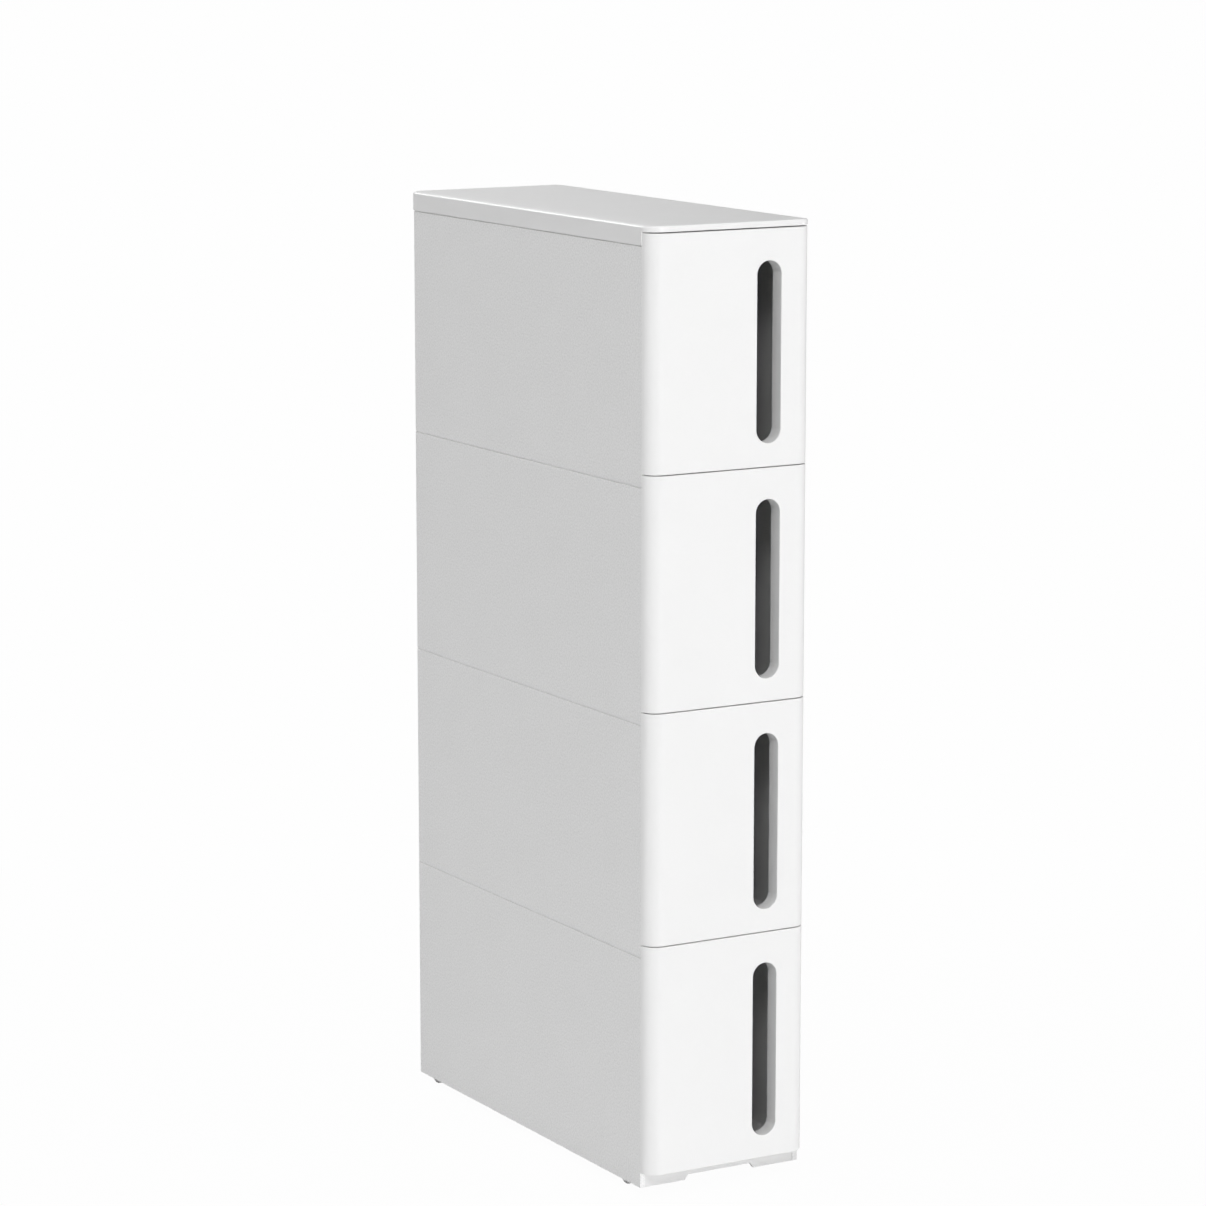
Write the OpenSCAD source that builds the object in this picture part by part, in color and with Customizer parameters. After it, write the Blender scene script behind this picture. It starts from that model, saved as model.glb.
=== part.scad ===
// Slim plastic drawer tower: stacked open-fronted casings, clip-fronted drawers, a snap-on lid
// and a plinth with four fixed rollers. Millimetres, +Z up, drawer fronts facing -Y, and the
// origin on the floor below the middle of the tower.

/* [Tower] */
// Width over the casing sides and the drawer fronts
body_w = 160; // [150:1:220]
// Depth from the faces of the drawer fronts to the back
body_d = 430; // [360:0.5:520]
// Height from one casing to the next
tier_pitch = 202.4; // [180:0.1:240]
// Extra height of the lowest casing, over the rollers
base_extra = 2; // [1:0.5:12]
// Height of the lid's rim and plate together
lid_h = 16.7; // [15.5:0.1:24]

/* [Casing] */
// Thickness of the side walls
side_t = 2.4; // [1.8:0.1:3]
// Thickness of the back wall
back_t = 2.4; // [1.8:0.1:4]
// Thickness of the stiff post at the front end of each side wall
post_t = 5; // [4:0.1:7]
// Length of that post along the depth
post_d = 8; // [5:0.5:14]
// Outer radius of the upright corners at the back
back_corner_r = 12; // [10:0.5:20]
// Height of the deck's top over the bottom of its casing
deck_rise = 14; // [13:0.1:18]
// Thickness of the deck
deck_t = 2.5; // [2:0.1:3]
// Thickness of the beam under the deck's front edge
beam_t = 2.5; // [2:0.1:4]
// Setback of that beam behind the front ends of the side walls
beam_setback = 0.4; // [0.2:0.1:4]
// Thickness of the cross ribs under the deck
deck_rib_t = 1.8; // [1.2:0.1:3]
// Height of those cross ribs
deck_rib_h = 6; // [3:0.5:8]
// Number of those cross ribs
deck_ribs = 3; // [1:1:5]
// Height of the fine rebate round each casing's upper edge
seam_h = 0.8; // [0.2:0.1:1]
// Depth of that rebate
seam_d = 0.6; // [0.2:0.1:0.8]

/* [Stacking tongue] */
// Depth to which a casing or the lid plugs into the casing below
tongue_h = 6; // [3:0.5:9]
// Thickness of the tongue
tongue_t = 1.8; // [1.2:0.1:2]
// Clearance round the tongue
tongue_fit = 0.25; // [0.15:0.05:0.4]

/* [Glides] */
// Width of the two glide ribs on each deck
glide_w = 4; // [3:0.5:8]
// Height of the glide ribs
glide_h = 1.6; // [1:0.1:3]
// Distance of each glide rib's outer side from the drawer box's side
glide_inset = 10; // [6:0.5:25]
// Running gap between a glide rib and the drawer box
glide_gap = 0.3; // [0.2:0.05:0.6]

/* [Drawer front] */
// Depth of the drawer front, back to the casing
front_d = 14; // [12.5:0.1:20]
// Radius of its upright corners, as seen from above
front_corner_r = 14; // [8:0.5:14]
// Thickness of its skin
skin_t = 2.4; // [1.8:0.1:3]
// Height by which each front stands over the seam of its casing
front_lift = 10.8; // [9:0.1:12]
// Gap between one front and the next
front_gap = 0.8; // [0.6:0.1:2]
// Gap between the highest front and the lid's lip
lip_gap = 1.1; // [0.8:0.1:2]
// Gap between a front's back edge and the casing that it shuts against
shut_gap = 0.05; // [0.05:0.05:0.5]
// Rounding of its upper and lower edges
front_edge_r = 0.9; // [0.3:0.1:1.4]
// Thickness of the cross ribs behind the skin
front_rib_t = 1.6; // [1.2:0.1:2.4]
// Number of those cross ribs
front_ribs = 3; // [1:1:5]

/* [Finger slot] */
// Width of the slot
slot_w = 24; // [20:0.5:30]
// Height of the slot
slot_h = 154.6; // [100:0.1:160]
// Distance of the slot's middle from the middle of the front
slot_x = 36.5; // [0:0.5:38]
// Distance of the slot's lower end from the front's lower edge
slot_rise = 20; // [16:0.5:24]
// Wall of the slot's tunnel
slot_wall_t = 2; // [1.5:0.1:3]
// Rounding of the slot's front edge
slot_edge_r = 0.6; // [0.2:0.1:1]

/* [Drawer box] */
// Wall of the drawer box
box_wall_t = 2; // [1.6:0.1:2.6]
// Floor of the drawer box
box_floor_t = 2.2; // [1.8:0.1:4]
// Running gap between the box and each front post
box_side_gap = 0.5; // [0.3:0.1:0.8]
// Gap between the box's rim and the casing above
box_top_gap = 4.4; // [3:0.1:8]
// Gap between the box and the casing's back wall
box_back_gap = 14; // [8:0.5:30]
// Outer radius of the box's upright corners
box_corner_r = 8; // [6:0.5:14]
// Inward width of the rim bead
rim_w = 1.4; // [0.8:0.1:2.5]
// Height of the rim bead
rim_h = 5; // [3:0.5:8]

/* [Drawer stop] */
// Length of box that stays in the casing when the drawer is out
stop_stay = 85; // [60:1:140]
// Length of each stop lug along the depth
stop_len = 6; // [4:0.5:10]
// Height of each stop lug
stop_h = 30; // [15:1:50]
// Clearance between a lug and the side wall
stop_fit = 0.7; // [0.5:0.1:0.9]

/* [Front hooks] */
// Width of each snap hook
hook_w = 8; // [6:0.5:12]
// Thickness of each snap hook
hook_t = 2.2; // [1.6:0.1:3]
// Height of the barb
hook_barb = 1.4; // [0.8:0.1:2]
// Length of the barb
hook_len = 2; // [1.5:0.1:4]
// Clearance of a hook in its window
hook_fit = 0.3; // [0.2:0.05:0.5]
// Distance of the hooks from the box's side
hook_inset = 9; // [8.5:0.5:12]
// Distance of the hooks from the box's floor and rim
hook_margin = 18; // [14:0.5:40]

/* [Lid] */
// Overhang of the lid past the casing at the sides and back
lid_overhang = 0.6; // [0.3:0.1:1.5]
// Thickness of the lid's plate
lid_plate_t = 3; // [2:0.1:4]
// Thickness of the lid's rim
lid_rim_t = 3; // [2:0.1:3]
// Rounding of the lid's upper edge
lid_edge_r = 2.8; // [1:0.1:3]

/* [Plinth] */
// Thickness of the plinth's beams
plinth_t = 2.5; // [2:0.1:4]
// Fit of the plinth in the lowest casing
plinth_fit = 0.2; // [0.1:0.05:0.3]
// Width of the notch at its open side
notch_w = 70; // [30:1:80]
// Height of the notch
notch_h = 4.5; // [2:0.1:6]
// Width of each slanted end of the notch
notch_slant = 3.5; // [1:0.1:6]

/* [Rollers] */
// Radius of the rollers
wheel_r = 10; // [8:0.1:10]
// Width of the rollers
wheel_w = 9; // [6:0.5:12]
// Distance of a roller's outer side from the casing's side
wheel_inset = 9; // [9:0.5:14]
// Height of the casing's lower edge over the floor
wheel_drop = 8.5; // [8:0.1:12]
// Distance of the front axles from the faces of the drawer fronts
wheel_front = 54; // [40:1:80]
// Distance of the back axles from the back
wheel_back = 24; // [18:1:40]
// Rounding of the tread's edges
tread_r = 1.2; // [0.5:0.1:2]
// Depth of the recess in each side of a roller
hub_recess = 1; // [0.5:0.1:1.5]
// Wall of the hub round the axle
hub_t = 2.5; // [1.5:0.1:3]
// Thickness of the tread's rim beside the recess
tread_t = 2.4; // [1.6:0.1:3]
// Radius of the axle
axle_r = 1.5; // [1:0.1:2]
// Chamfer at the ends of the axle
axle_chamfer = 0.3; // [0.1:0.1:0.5]
// Running clearance of the roller's bore
axle_run = 0.05; // [0.02:0.01:0.09]
// Clearance of the axle in its housing
axle_seat = 0.03; // [0.02:0.01:0.06]
// Gap between a roller and each cheek
cheek_gap = 0.4; // [0.3:0.05:0.8]
// Thickness of the housing's cheeks
cheek_t = 2; // [1.5:0.1:2.5]
// Height of the cheeks' lower edge over the casing's lower edge
cheek_rise = 2; // [0:0.5:4]
// Wall of the cheeks' bosses round the axle
boss_t = 2.2; // [1.6:0.1:2.6]
// Thickness of the housing's top
housing_top_t = 1.2; // [0.8:0.1:1.4]
// Length of the housing along the depth
housing_l = 24; // [22:0.5:30]
// Fit of the housing in its pocket
pocket_fit = 0.2; // [0.1:0.05:0.4]
// Wall of the pockets
pocket_t = 1.6; // [1.2:0.1:2.4]

/* [Hidden] */
$fn = 48;
eps = 0.01;
// How far a cut runs past what it cuts, and a lug's root into its wall
past = 1;
tiers = 4;
corner_names = ["front_left", "front_right", "back_left", "back_right"];

// Overall box: the lid's overhang widens the sides and lengthens the back.
total_d = body_d + lid_overhang;
y_front = -total_d / 2;
y_back = y_front + body_d;
half_w = body_w / 2;

// Heights. Tier 1 is the lowest, and its casing is taller by base_extra.
function seam(k) = wheel_drop + (k == 1 ? 0 : base_extra + (k - 1) * tier_pitch);
function deck_base(k) = seam(k) + (k == 1 ? base_extra : 0);
function deck_top(k) = deck_base(k) + deck_rise;
function front_bottom(k) = deck_base(k) + front_lift + front_gap / 2;
front_h = tier_pitch - front_gap;
lid_bottom = seam(tiers + 1);
lid_top = lid_bottom + lid_h;

// Casing inside
wall_y = y_front + front_d + shut_gap;
inner_w = half_w - side_t;
inner_back = y_back - back_t;
inner_corner_r = back_corner_r - side_t;
post_back = wall_y + post_d;
beam_y = wall_y + beam_setback;

// Drawer box, from its place behind the front
box_y = y_front + front_d;
box_hw = half_w - post_t - box_side_gap;
box_back = inner_back - box_back_gap;
box_d = box_back - box_y;
box_h = tier_pitch - deck_rise - glide_h - glide_gap - box_top_gap;
function box_bottom(k) = deck_top(k) + glide_h + glide_gap;
stop_y = box_back - stop_stay;
stop_w = inner_w - stop_fit - box_hw;

// Hooks: columns clear of the rounded corners, rows inside the box's height
hook_xs = [-box_hw + hook_inset + hook_w / 2, box_hw - hook_inset - hook_w / 2];
function hook_zs(k) = [box_bottom(k) + hook_margin, box_bottom(k) + box_h - hook_margin];

// Rollers
axle_z = wheel_r;
housing_hw = wheel_w / 2 + cheek_gap + cheek_t;
wheel_x = half_w - wheel_inset - wheel_w / 2;
axle_front_y = y_front + wheel_front;
axle_back_y = y_back - wheel_back;
deck_under = deck_top(1) - deck_t;
plinth_top = deck_under - plinth_fit;
boss_r = axle_r + boss_t;
hub_r = axle_r + hub_t;

white = [0.93, 0.93, 0.93];
grey = [0.34, 0.34, 0.35];
steel = [0.72, 0.73, 0.75];

// ---- Shared outlines and cuts ----

// Plan outline with round corners at the back and square ones at the front
module back_round_plan(hw, y0, y1, r) {
    translate([-hw, y0]) square([2 * hw, y1 - y0 - r]);
    translate([-hw + r, y0]) square([2 * hw - 2 * r, y1 - y0]);
    for (s = [-1, 1]) translate([s * (hw - r), y1 - r]) circle(r);
}

// Plan outline with four round corners
module round_plan(hw, y0, y1, r) {
    translate([-hw, y0 + r]) square([2 * hw, y1 - y0 - 2 * r]);
    translate([-hw + r, y0]) square([2 * hw - 2 * r, y1 - y0]);
    for (s = [-1, 1], y = [y0 + r, y1 - r]) translate([s * (hw - r), y]) circle(r);
}

// Upright stadium in the XZ plane, as an outline to extrude along Y
module stadium(w, h) {
    translate([-w / 2, w / 2]) square([w, h - w]);
    for (z = [w / 2, h - w / 2]) translate([0, z]) circle(w / 2);
}

// Extrusion of an XZ outline from y0 to y1
module along_y(y0, y1) {
    translate([0, y1, 0]) rotate([90, 0, 0]) linear_extrude(y1 - y0) children();
}

// Section of a drawer front: depth along -X from the corner's axis, height along Y, with
// rounded outer edges above and below
module front_section(reach, h, r) {
    translate([0, r]) square([reach, h - 2 * r]);
    square([reach - r, h]);
    for (z = [r, h - r]) translate([reach - r, z]) circle(r);
}

// Body with a flat face at -Y, quarter-round upright corners and rounded upper and lower edges
module rounded_front(hw, r, depth, h, edge) {
    for (s = [-1, 1]) translate([s * (hw - r), r, 0])
        rotate([0, 0, s < 0 ? 180 : 270]) rotate_extrude(angle = 90) front_section(r, h, edge);
    translate([-hw + r, r, 0]) rotate([90, 0, 90]) linear_extrude(2 * (hw - r))
        mirror([1, 0]) front_section(r, h, edge);
    if (depth > r) translate([0, r, 0]) front_tail(hw, depth - r, h, edge);
}

// Straight stretch of that body behind its corners
module front_tail(hw, depth, h, edge) {
    translate([0, depth, 0]) rotate([90, 0, 0]) linear_extrude(depth) {
        translate([-hw, edge]) square([2 * hw, h - 2 * edge]);
        translate([-hw + edge, 0]) square([2 * (hw - edge), h]);
        for (s = [-1, 1], z = [edge, h - edge]) translate([s * (hw - edge), z]) circle(edge);
    }
}

// ---- Casing ----

// Tongue that plugs into the casing below, and the thicker wall foot that it grows from
module tongue(z, foot_h) {
    outer = inner_w - tongue_fit;
    difference() {
        union() {
            translate([0, 0, z - tongue_h]) linear_extrude(tongue_h + eps)
                back_round_plan(outer, post_back + tongue_fit, inner_back - tongue_fit,
                    inner_corner_r - tongue_fit);
            translate([0, 0, z]) linear_extrude(foot_h)
                back_round_plan(inner_w + eps, post_back + tongue_fit, inner_back + eps, inner_corner_r);
        }
        translate([0, 0, z - tongue_h - past]) linear_extrude(foot_h + tongue_h + 2 * past)
            back_round_plan(outer - tongue_t, wall_y, inner_back - tongue_fit - tongue_t,
                inner_corner_r - tongue_fit - tongue_t);
    }
}

// Deck with its front beam, cross ribs and glide ribs
module deck(k) {
    top = deck_top(k);
    translate([0, 0, top - deck_t]) linear_extrude(deck_t)
        back_round_plan(inner_w + eps, beam_y, inner_back + eps, inner_corner_r);
    for (s = [-1, 1]) translate([s * (box_hw - glide_inset) - (s > 0 ? glide_w : 0), post_back, top - eps])
        cube([glide_w, box_back - post_back, glide_h + eps]);
    if (k > 1) {
        translate([-inner_w, beam_y, seam(k)]) cube([2 * inner_w, beam_t, deck_rise - deck_t + eps]);
        for (i = [1:deck_ribs]) {
            y = beam_y + i * (inner_back - beam_y) / (deck_ribs + 1);
            translate([-inner_w, y - deck_rib_t / 2, top - deck_t - deck_rib_h])
                cube([2 * inner_w, deck_rib_t, deck_rib_h + eps]);
        }
    }
}

// Plan of the room inside a casing, narrowed between the front posts
module casing_room() {
    back_round_plan(inner_w, post_back, inner_back, inner_corner_r);
    translate([-half_w + post_t, wall_y - past]) square([body_w - 2 * post_t, post_d + 2 * past]);
}

module casing(k) {
    z0 = seam(k);
    h = seam(k + 1) - z0;
    color(white) union() {
        difference() {
            union() {
                translate([0, 0, z0]) linear_extrude(h - seam_h)
                    back_round_plan(half_w, wall_y, y_back, back_corner_r);
                translate([0, 0, z0]) linear_extrude(h)
                    back_round_plan(half_w - seam_d, wall_y, y_back - seam_d, back_corner_r - seam_d);
            }
            translate([0, 0, z0 - past]) linear_extrude(h + 2 * past) casing_room();
        }
        deck(k);
        if (k > 1) tongue(z0, deck_rise - deck_t);
    }
}

// ---- Lid ----

// Lid: a hollow plate with a rim, a thin lip over the drawer fronts and the tongue
module top_cover() {
    hw = half_w + lid_overhang;
    r = front_corner_r + lid_overhang;
    br = back_corner_r + lid_overhang;
    lip_z = front_bottom(tiers) + front_h + lip_gap;
    inner_hw = hw - lid_rim_t;
    plate_z = lid_top - lid_plate_t;
    color(white) union() {
        difference() {
            lid_block(hw, r, br);
            // thin lip over the drawer fronts
            translate([-hw - past, y_front - past, lid_bottom - past])
                cube([2 * (hw + past), front_d + shut_gap + past, lip_z - lid_bottom + past]);
            // hollow under the plate
            translate([0, 0, lid_bottom - past]) linear_extrude(plate_z - lid_bottom + past)
                back_round_plan(inner_hw, beam_y + beam_t, y_back + lid_overhang - lid_rim_t, br - lid_rim_t);
            // room behind the front ends of the rim
            translate([-half_w + post_t, wall_y - past, lid_bottom - past])
                cube([body_w - 2 * post_t, beam_setback + past, lip_z - lid_bottom + past]);
        }
        tongue(lid_bottom, plate_z - lid_bottom + eps);
    }
}

// Lid's outer form, its upper edge rounded all the way round
module lid_block(hw, r, br) {
    e = lid_edge_r;
    y1 = y_back + lid_overhang;
    translate([0, 0, lid_bottom]) linear_extrude(lid_h - e) lid_plan(hw, r, br, 0);
    translate([0, 0, lid_bottom]) linear_extrude(lid_h) lid_plan(hw, r, br, e);
    for (c = [[-1, y_front + r, r, 180], [1, y_front + r, r, 270], [1, y1 - br, br, 0], [-1, y1 - br, br, 90]])
        translate([c[0] * (hw - c[2]), c[1], lid_top - e]) rotate([0, 0, c[3]])
            rotate_extrude(angle = 90) translate([c[2] - e, 0]) edge_quarter(e);
    for (s = [-1, 1]) translate([s * (hw - e), y1 - br, lid_top - e])
        rotate([90, 0, 0]) linear_extrude(y1 - br - y_front - r) scale([s, 1]) edge_quarter(e);
    translate([hw - r, y_front + e, lid_top - e]) rotate([90, 0, -90])
        linear_extrude(2 * (hw - r)) edge_quarter(e);
    translate([-hw + br, y1 - e, lid_top - e]) rotate([90, 0, 90])
        linear_extrude(2 * (hw - br)) edge_quarter(e);
}

module edge_quarter(e) {
    intersection() {
        circle(e);
        square(e + past);
    }
}

// Lid's plan, drawn in by e
module lid_plan(hw, r, br, e) {
    y1 = y_back + lid_overhang;
    translate([-hw + e, y_front + r]) square([2 * (hw - e), y1 - y_front - r - br]);
    translate([-hw + r, y_front + e]) square([2 * (hw - r), r]);
    translate([-hw + br, y1 - br - e]) square([2 * (hw - br), br]);
    for (s = [-1, 1]) {
        translate([s * (hw - r), y_front + r]) circle(r - e);
        translate([s * (hw - br), y1 - br]) circle(br - e);
    }
}

// ---- Drawer ----

// Front panel: a hollow skin with the slot's tunnel, cross ribs and four snap hooks behind it
module drawer_front(k) {
    z0 = front_bottom(k);
    slot_z = z0 + slot_rise;
    color(white) difference() {
        union() {
            translate([0, y_front, z0]) front_shell();
            translate([slot_x, 0, slot_z - slot_wall_t])
                along_y(y_front + skin_t / 2, box_y) stadium(slot_w + 2 * slot_wall_t, slot_h + 2 * slot_wall_t);
            skin_ribs(k);
            for (x = hook_xs, z = hook_zs(k)) translate([x, 0, z]) hook();
        }
        translate([slot_x, 0, slot_z]) along_y(y_front - past, box_y + past) stadium(slot_w, slot_h);
        translate([slot_x, y_front, slot_z]) slot_rounding();
    }
}

module front_shell() {
    difference() {
        rounded_front(half_w, front_corner_r, front_d, front_h, front_edge_r);
        translate([0, skin_t, skin_t])
            rounded_front(half_w - skin_t, front_corner_r - skin_t, front_d, front_h - 2 * skin_t, eps);
    }
}

// Cross ribs behind the skin, from the rounded corner to the slot's tunnel, which rest on the box
module skin_ribs(k) {
    x0 = -half_w + front_corner_r;
    x1 = slot_x - slot_w / 2 - slot_wall_t;
    for (i = [1:front_ribs]) translate([x0, y_front + skin_t - eps, front_bottom(k) + i * front_h / (front_ribs + 1)])
        cube([x1 - x0 + eps, front_d - skin_t + eps, front_rib_t]);
}

// Snap hook that reaches through the box's front wall and latches over its window
module hook() {
    back = box_y + box_wall_t + hook_fit;
    translate([-hook_w / 2, y_front + skin_t - eps, 0]) cube([hook_w, back + hook_len - y_front - skin_t, hook_t]);
    translate([-hook_w / 2, back, hook_t - eps]) cube([hook_w, hook_len, hook_barb]);
}

// Cut that rounds the slot's front edge
module slot_rounding() {
    r = slot_edge_r;
    for (z = [slot_w / 2, slot_h - slot_w / 2]) translate([0, 0, z]) rotate([-90, 0, 0])
        rotate_extrude() rounding_section(slot_w / 2, r);
    for (s = [-1, 1]) translate([0, 0, slot_w / 2]) linear_extrude(slot_h - slot_w)
        scale([s, 1]) rounding_section(slot_w / 2, r);
}

// Corner left over outside a rounding of radius r, at distance x from the slot's middle
module rounding_section(x, r) {
    difference() {
        translate([x - r, -r]) square([2 * r, 2 * r]);
        translate([x + r, r]) circle(r);
        translate([x - 2 * r, r]) square([4 * r, r]);
    }
}

// Open-topped drawer box
module drawer_box(k) {
    z0 = box_bottom(k);
    slot_z = front_bottom(k) + slot_rise;
    inner_hw = box_hw - box_wall_t;
    inner_r = box_corner_r - box_wall_t;
    color(white) union() {
        difference() {
            translate([0, 0, z0]) linear_extrude(box_h) round_plan(box_hw, box_y, box_back, box_corner_r);
            translate([0, 0, z0 + box_floor_t]) linear_extrude(box_h - rim_h - box_floor_t + eps)
                round_plan(inner_hw, box_y + box_wall_t, box_back - box_wall_t, inner_r);
            translate([0, 0, z0 + box_h - rim_h]) linear_extrude(rim_h + past)
                round_plan(inner_hw - rim_w, box_y + box_wall_t + rim_w, box_back - box_wall_t - rim_w,
                    inner_r - rim_w);
            translate([slot_x, 0, slot_z - slot_wall_t]) along_y(box_y - past, box_y + box_wall_t + rim_w + past)
                stadium(slot_w + 2 * slot_wall_t, slot_h + 2 * slot_wall_t);
            for (x = hook_xs, z = hook_zs(k)) translate([x, 0, z]) hook_window();
        }
        for (s = [-1, 1]) scale([s, 1, 1]) stop_lug(z0);
    }
}

// Window for a hook, with room below it for the barb to pass while the hook bends
module hook_window() {
    translate([-hook_w / 2 - hook_fit, box_y - past, -hook_barb - hook_fit])
        cube([hook_w + 2 * hook_fit, box_wall_t + 2 * past, hook_t + hook_barb + 2 * hook_fit]);
}

// Stop lug: square towards the front post, ramped behind so that the drawer snaps in
module stop_lug(z0) {
    translate([0, 0, z0 + (box_h - stop_h) / 2]) linear_extrude(stop_h)
        polygon([[box_hw - past, stop_y], [box_hw + stop_w, stop_y], [box_hw + stop_w, stop_y + stop_len / 2],
            [box_hw, stop_y + stop_len], [box_hw - past, stop_y + stop_len]]);
}

// ---- Plinth and casters ----

// Plan of the plinth, drawn in by e and stepped in between the casing's front posts
module plinth_plan(e) {
    hw = inner_w - plinth_fit - e;
    step_y = post_back + plinth_fit + e;
    step_hw = half_w - post_t - plinth_fit - e;
    back_round_plan(hw, step_y, inner_back - plinth_fit - e, inner_corner_r - plinth_fit - e);
    translate([-step_hw, beam_y + e]) square([2 * step_hw, step_y - beam_y - e + past]);
}

// Plinth: a ring of beams, a pocket for each caster and cross ribs between them
module base_plinth() {
    z0 = wheel_drop;
    h = plinth_top - z0;
    color(white) difference() {
        union() {
            translate([0, 0, z0]) linear_extrude(h) difference() {
                plinth_plan(0);
                plinth_plan(plinth_t);
            }
            intersection() {
                translate([0, 0, z0]) linear_extrude(h) plinth_plan(plinth_t / 2);
                for (i = [0:3]) translate([caster_x(i), caster_y(i), z0]) pocket_block(i, h);
            }
            plinth_ribs();
        }
        for (i = [0:3]) translate([caster_x(i), caster_y(i), z0 - past]) pocket_room(h + 2 * past);
        along_y(beam_y - past, beam_y + plinth_t + past) translate([0, z0]) polygon([
            [-notch_w / 2, -past], [notch_w / 2, -past], [notch_w / 2, 0], [notch_w / 2 - notch_slant, notch_h],
            [-notch_w / 2 + notch_slant, notch_h], [-notch_w / 2, 0]]);
    }
}

// Cross ribs between the front and back pockets
module plinth_ribs() {
    hw = inner_w - plinth_fit - plinth_t / 2;
    for (i = [1:deck_ribs]) {
        y = axle_front_y + i * (axle_back_y - axle_front_y) / (deck_ribs + 1);
        translate([-hw, y - deck_rib_t / 2, plinth_top - deck_rib_h]) cube([2 * hw, deck_rib_t, deck_rib_h]);
    }
}

// Block that a caster's pocket is cut from, out to the casing's side
module pocket_block(i, h) {
    hx = housing_hw + pocket_fit + pocket_t;
    hy = housing_l / 2 + pocket_fit + pocket_t;
    reach = half_w - wheel_x;
    translate([caster_x(i) > 0 ? -hx : -reach, -hy, 0]) cube([hx + reach, 2 * hy, h]);
}

module pocket_room(h) {
    hx = housing_hw + pocket_fit;
    hy = housing_l / 2 + pocket_fit;
    translate([-hx, -hy, 0]) cube([2 * hx, 2 * hy, h]);
}

function caster_x(i) = (i % 2 == 0 ? -1 : 1) * wheel_x;
function caster_y(i) = i < 2 ? axle_front_y : axle_back_y;

// Bracket: a top plate and two cheeks that are round below the axle
module caster_housing(i) {
    color(grey) translate([caster_x(i), caster_y(i), 0]) difference() {
        union() {
            translate([-housing_hw, -housing_l / 2, plinth_top - housing_top_t])
                cube([2 * housing_hw, housing_l, housing_top_t]);
            for (s = [-1, 1]) translate([s > 0 ? housing_hw - cheek_t : -housing_hw, 0, 0]) cheek();
        }
        translate([-housing_hw - past, 0, axle_z]) rotate([0, 90, 0])
            cylinder(r = axle_r + axle_seat, h = 2 * (housing_hw + past));
    }
}

module cheek() {
    translate([0, -housing_l / 2, wheel_drop + cheek_rise]) cube([cheek_t, housing_l, plinth_top - wheel_drop - cheek_rise]);
    translate([0, -boss_r, axle_z]) cube([cheek_t, 2 * boss_r, plinth_top - axle_z]);
    translate([0, 0, axle_z]) rotate([0, 90, 0]) cylinder(r = boss_r, h = cheek_t);
}

module caster_axle(i) {
    l = 2 * housing_hw;
    r = axle_r - axle_chamfer;
    color(steel) translate([caster_x(i) - housing_hw, caster_y(i), axle_z]) rotate([0, 90, 0])
        rotate_extrude() polygon([[0, 0], [r, 0], [axle_r, axle_chamfer], [axle_r, l - axle_chamfer], [r, l], [0, l]]);
}

// Roller: tread with rounded edges, recessed sides and a hub as wide as the tread
module caster_wheel(i) {
    hw = wheel_w / 2;
    color(grey) translate([caster_x(i), caster_y(i), axle_z]) rotate([0, 90, 0]) rotate_extrude() difference() {
        union() {
            translate([0, -hw]) square([wheel_r - tread_r, wheel_w]);
            translate([0, -hw + tread_r]) square([wheel_r, wheel_w - 2 * tread_r]);
            for (s = [-1, 1]) translate([wheel_r - tread_r, s * (hw - tread_r)]) circle(tread_r);
        }
        translate([0, -hw - past]) square([axle_r + axle_run, wheel_w + 2 * past]);
        for (s = [-1, 1]) translate([hub_r, s > 0 ? hw - hub_recess : -hw - past])
            square([wheel_r - tread_t - hub_r, hub_recess + past]);
    }
}

top_cover();
for (k = [1:tiers]) {
    casing(k);
    drawer_box(k);
    drawer_front(k);
}
base_plinth();
for (i = [0:3]) {
    caster_housing(i);
    caster_axle(i);
    caster_wheel(i);
}
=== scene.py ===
"""Looks of a slim plastic drawer tower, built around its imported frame.

Four clip-fronted drawers slide in four stacked casings, under a snap-on lid and over a plinth with
four small rollers. Each moulding is modelled again over its CAD node, from that node's own box and the
wall sizes below, with the roundings, fillets and beads that a mould leaves. Metres, +Z up, and the
drawer fronts face -Y.
"""

import logging
import math
from collections.abc import Callable, Sequence
from dataclasses import dataclass, field
from enum import Enum

import bmesh
import bpy
from bmesh.types import BMEdge
from mathutils import Matrix, Vector

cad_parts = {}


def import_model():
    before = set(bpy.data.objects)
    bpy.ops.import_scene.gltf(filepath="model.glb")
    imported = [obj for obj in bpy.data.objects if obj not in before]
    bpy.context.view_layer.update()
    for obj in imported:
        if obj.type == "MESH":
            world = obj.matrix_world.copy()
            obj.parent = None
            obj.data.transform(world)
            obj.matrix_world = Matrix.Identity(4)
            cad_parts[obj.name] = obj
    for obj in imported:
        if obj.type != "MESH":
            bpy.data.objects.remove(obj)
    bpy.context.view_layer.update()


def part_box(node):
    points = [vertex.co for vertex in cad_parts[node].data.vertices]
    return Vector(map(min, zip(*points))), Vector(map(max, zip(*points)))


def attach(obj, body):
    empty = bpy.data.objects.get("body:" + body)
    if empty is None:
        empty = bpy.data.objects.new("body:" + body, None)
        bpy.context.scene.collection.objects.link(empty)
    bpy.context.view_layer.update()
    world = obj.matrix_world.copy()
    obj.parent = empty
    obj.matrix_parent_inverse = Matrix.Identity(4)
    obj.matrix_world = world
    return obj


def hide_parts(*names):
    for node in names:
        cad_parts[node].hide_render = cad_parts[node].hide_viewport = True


LOG = logging.getLogger("drawer_tower")

MM = 0.001
# Distance within which two places count as level, and within which two points are merged
TINY = 0.00001
MERGE = TINY / 10
# Least turn between two faces, in degrees, that counts as an edge
SHARP_DEGREES = 50.0
# Least share of an edge's length along an axis at which it counts as parallel to it
STRAIGHT = 0.9999
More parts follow.
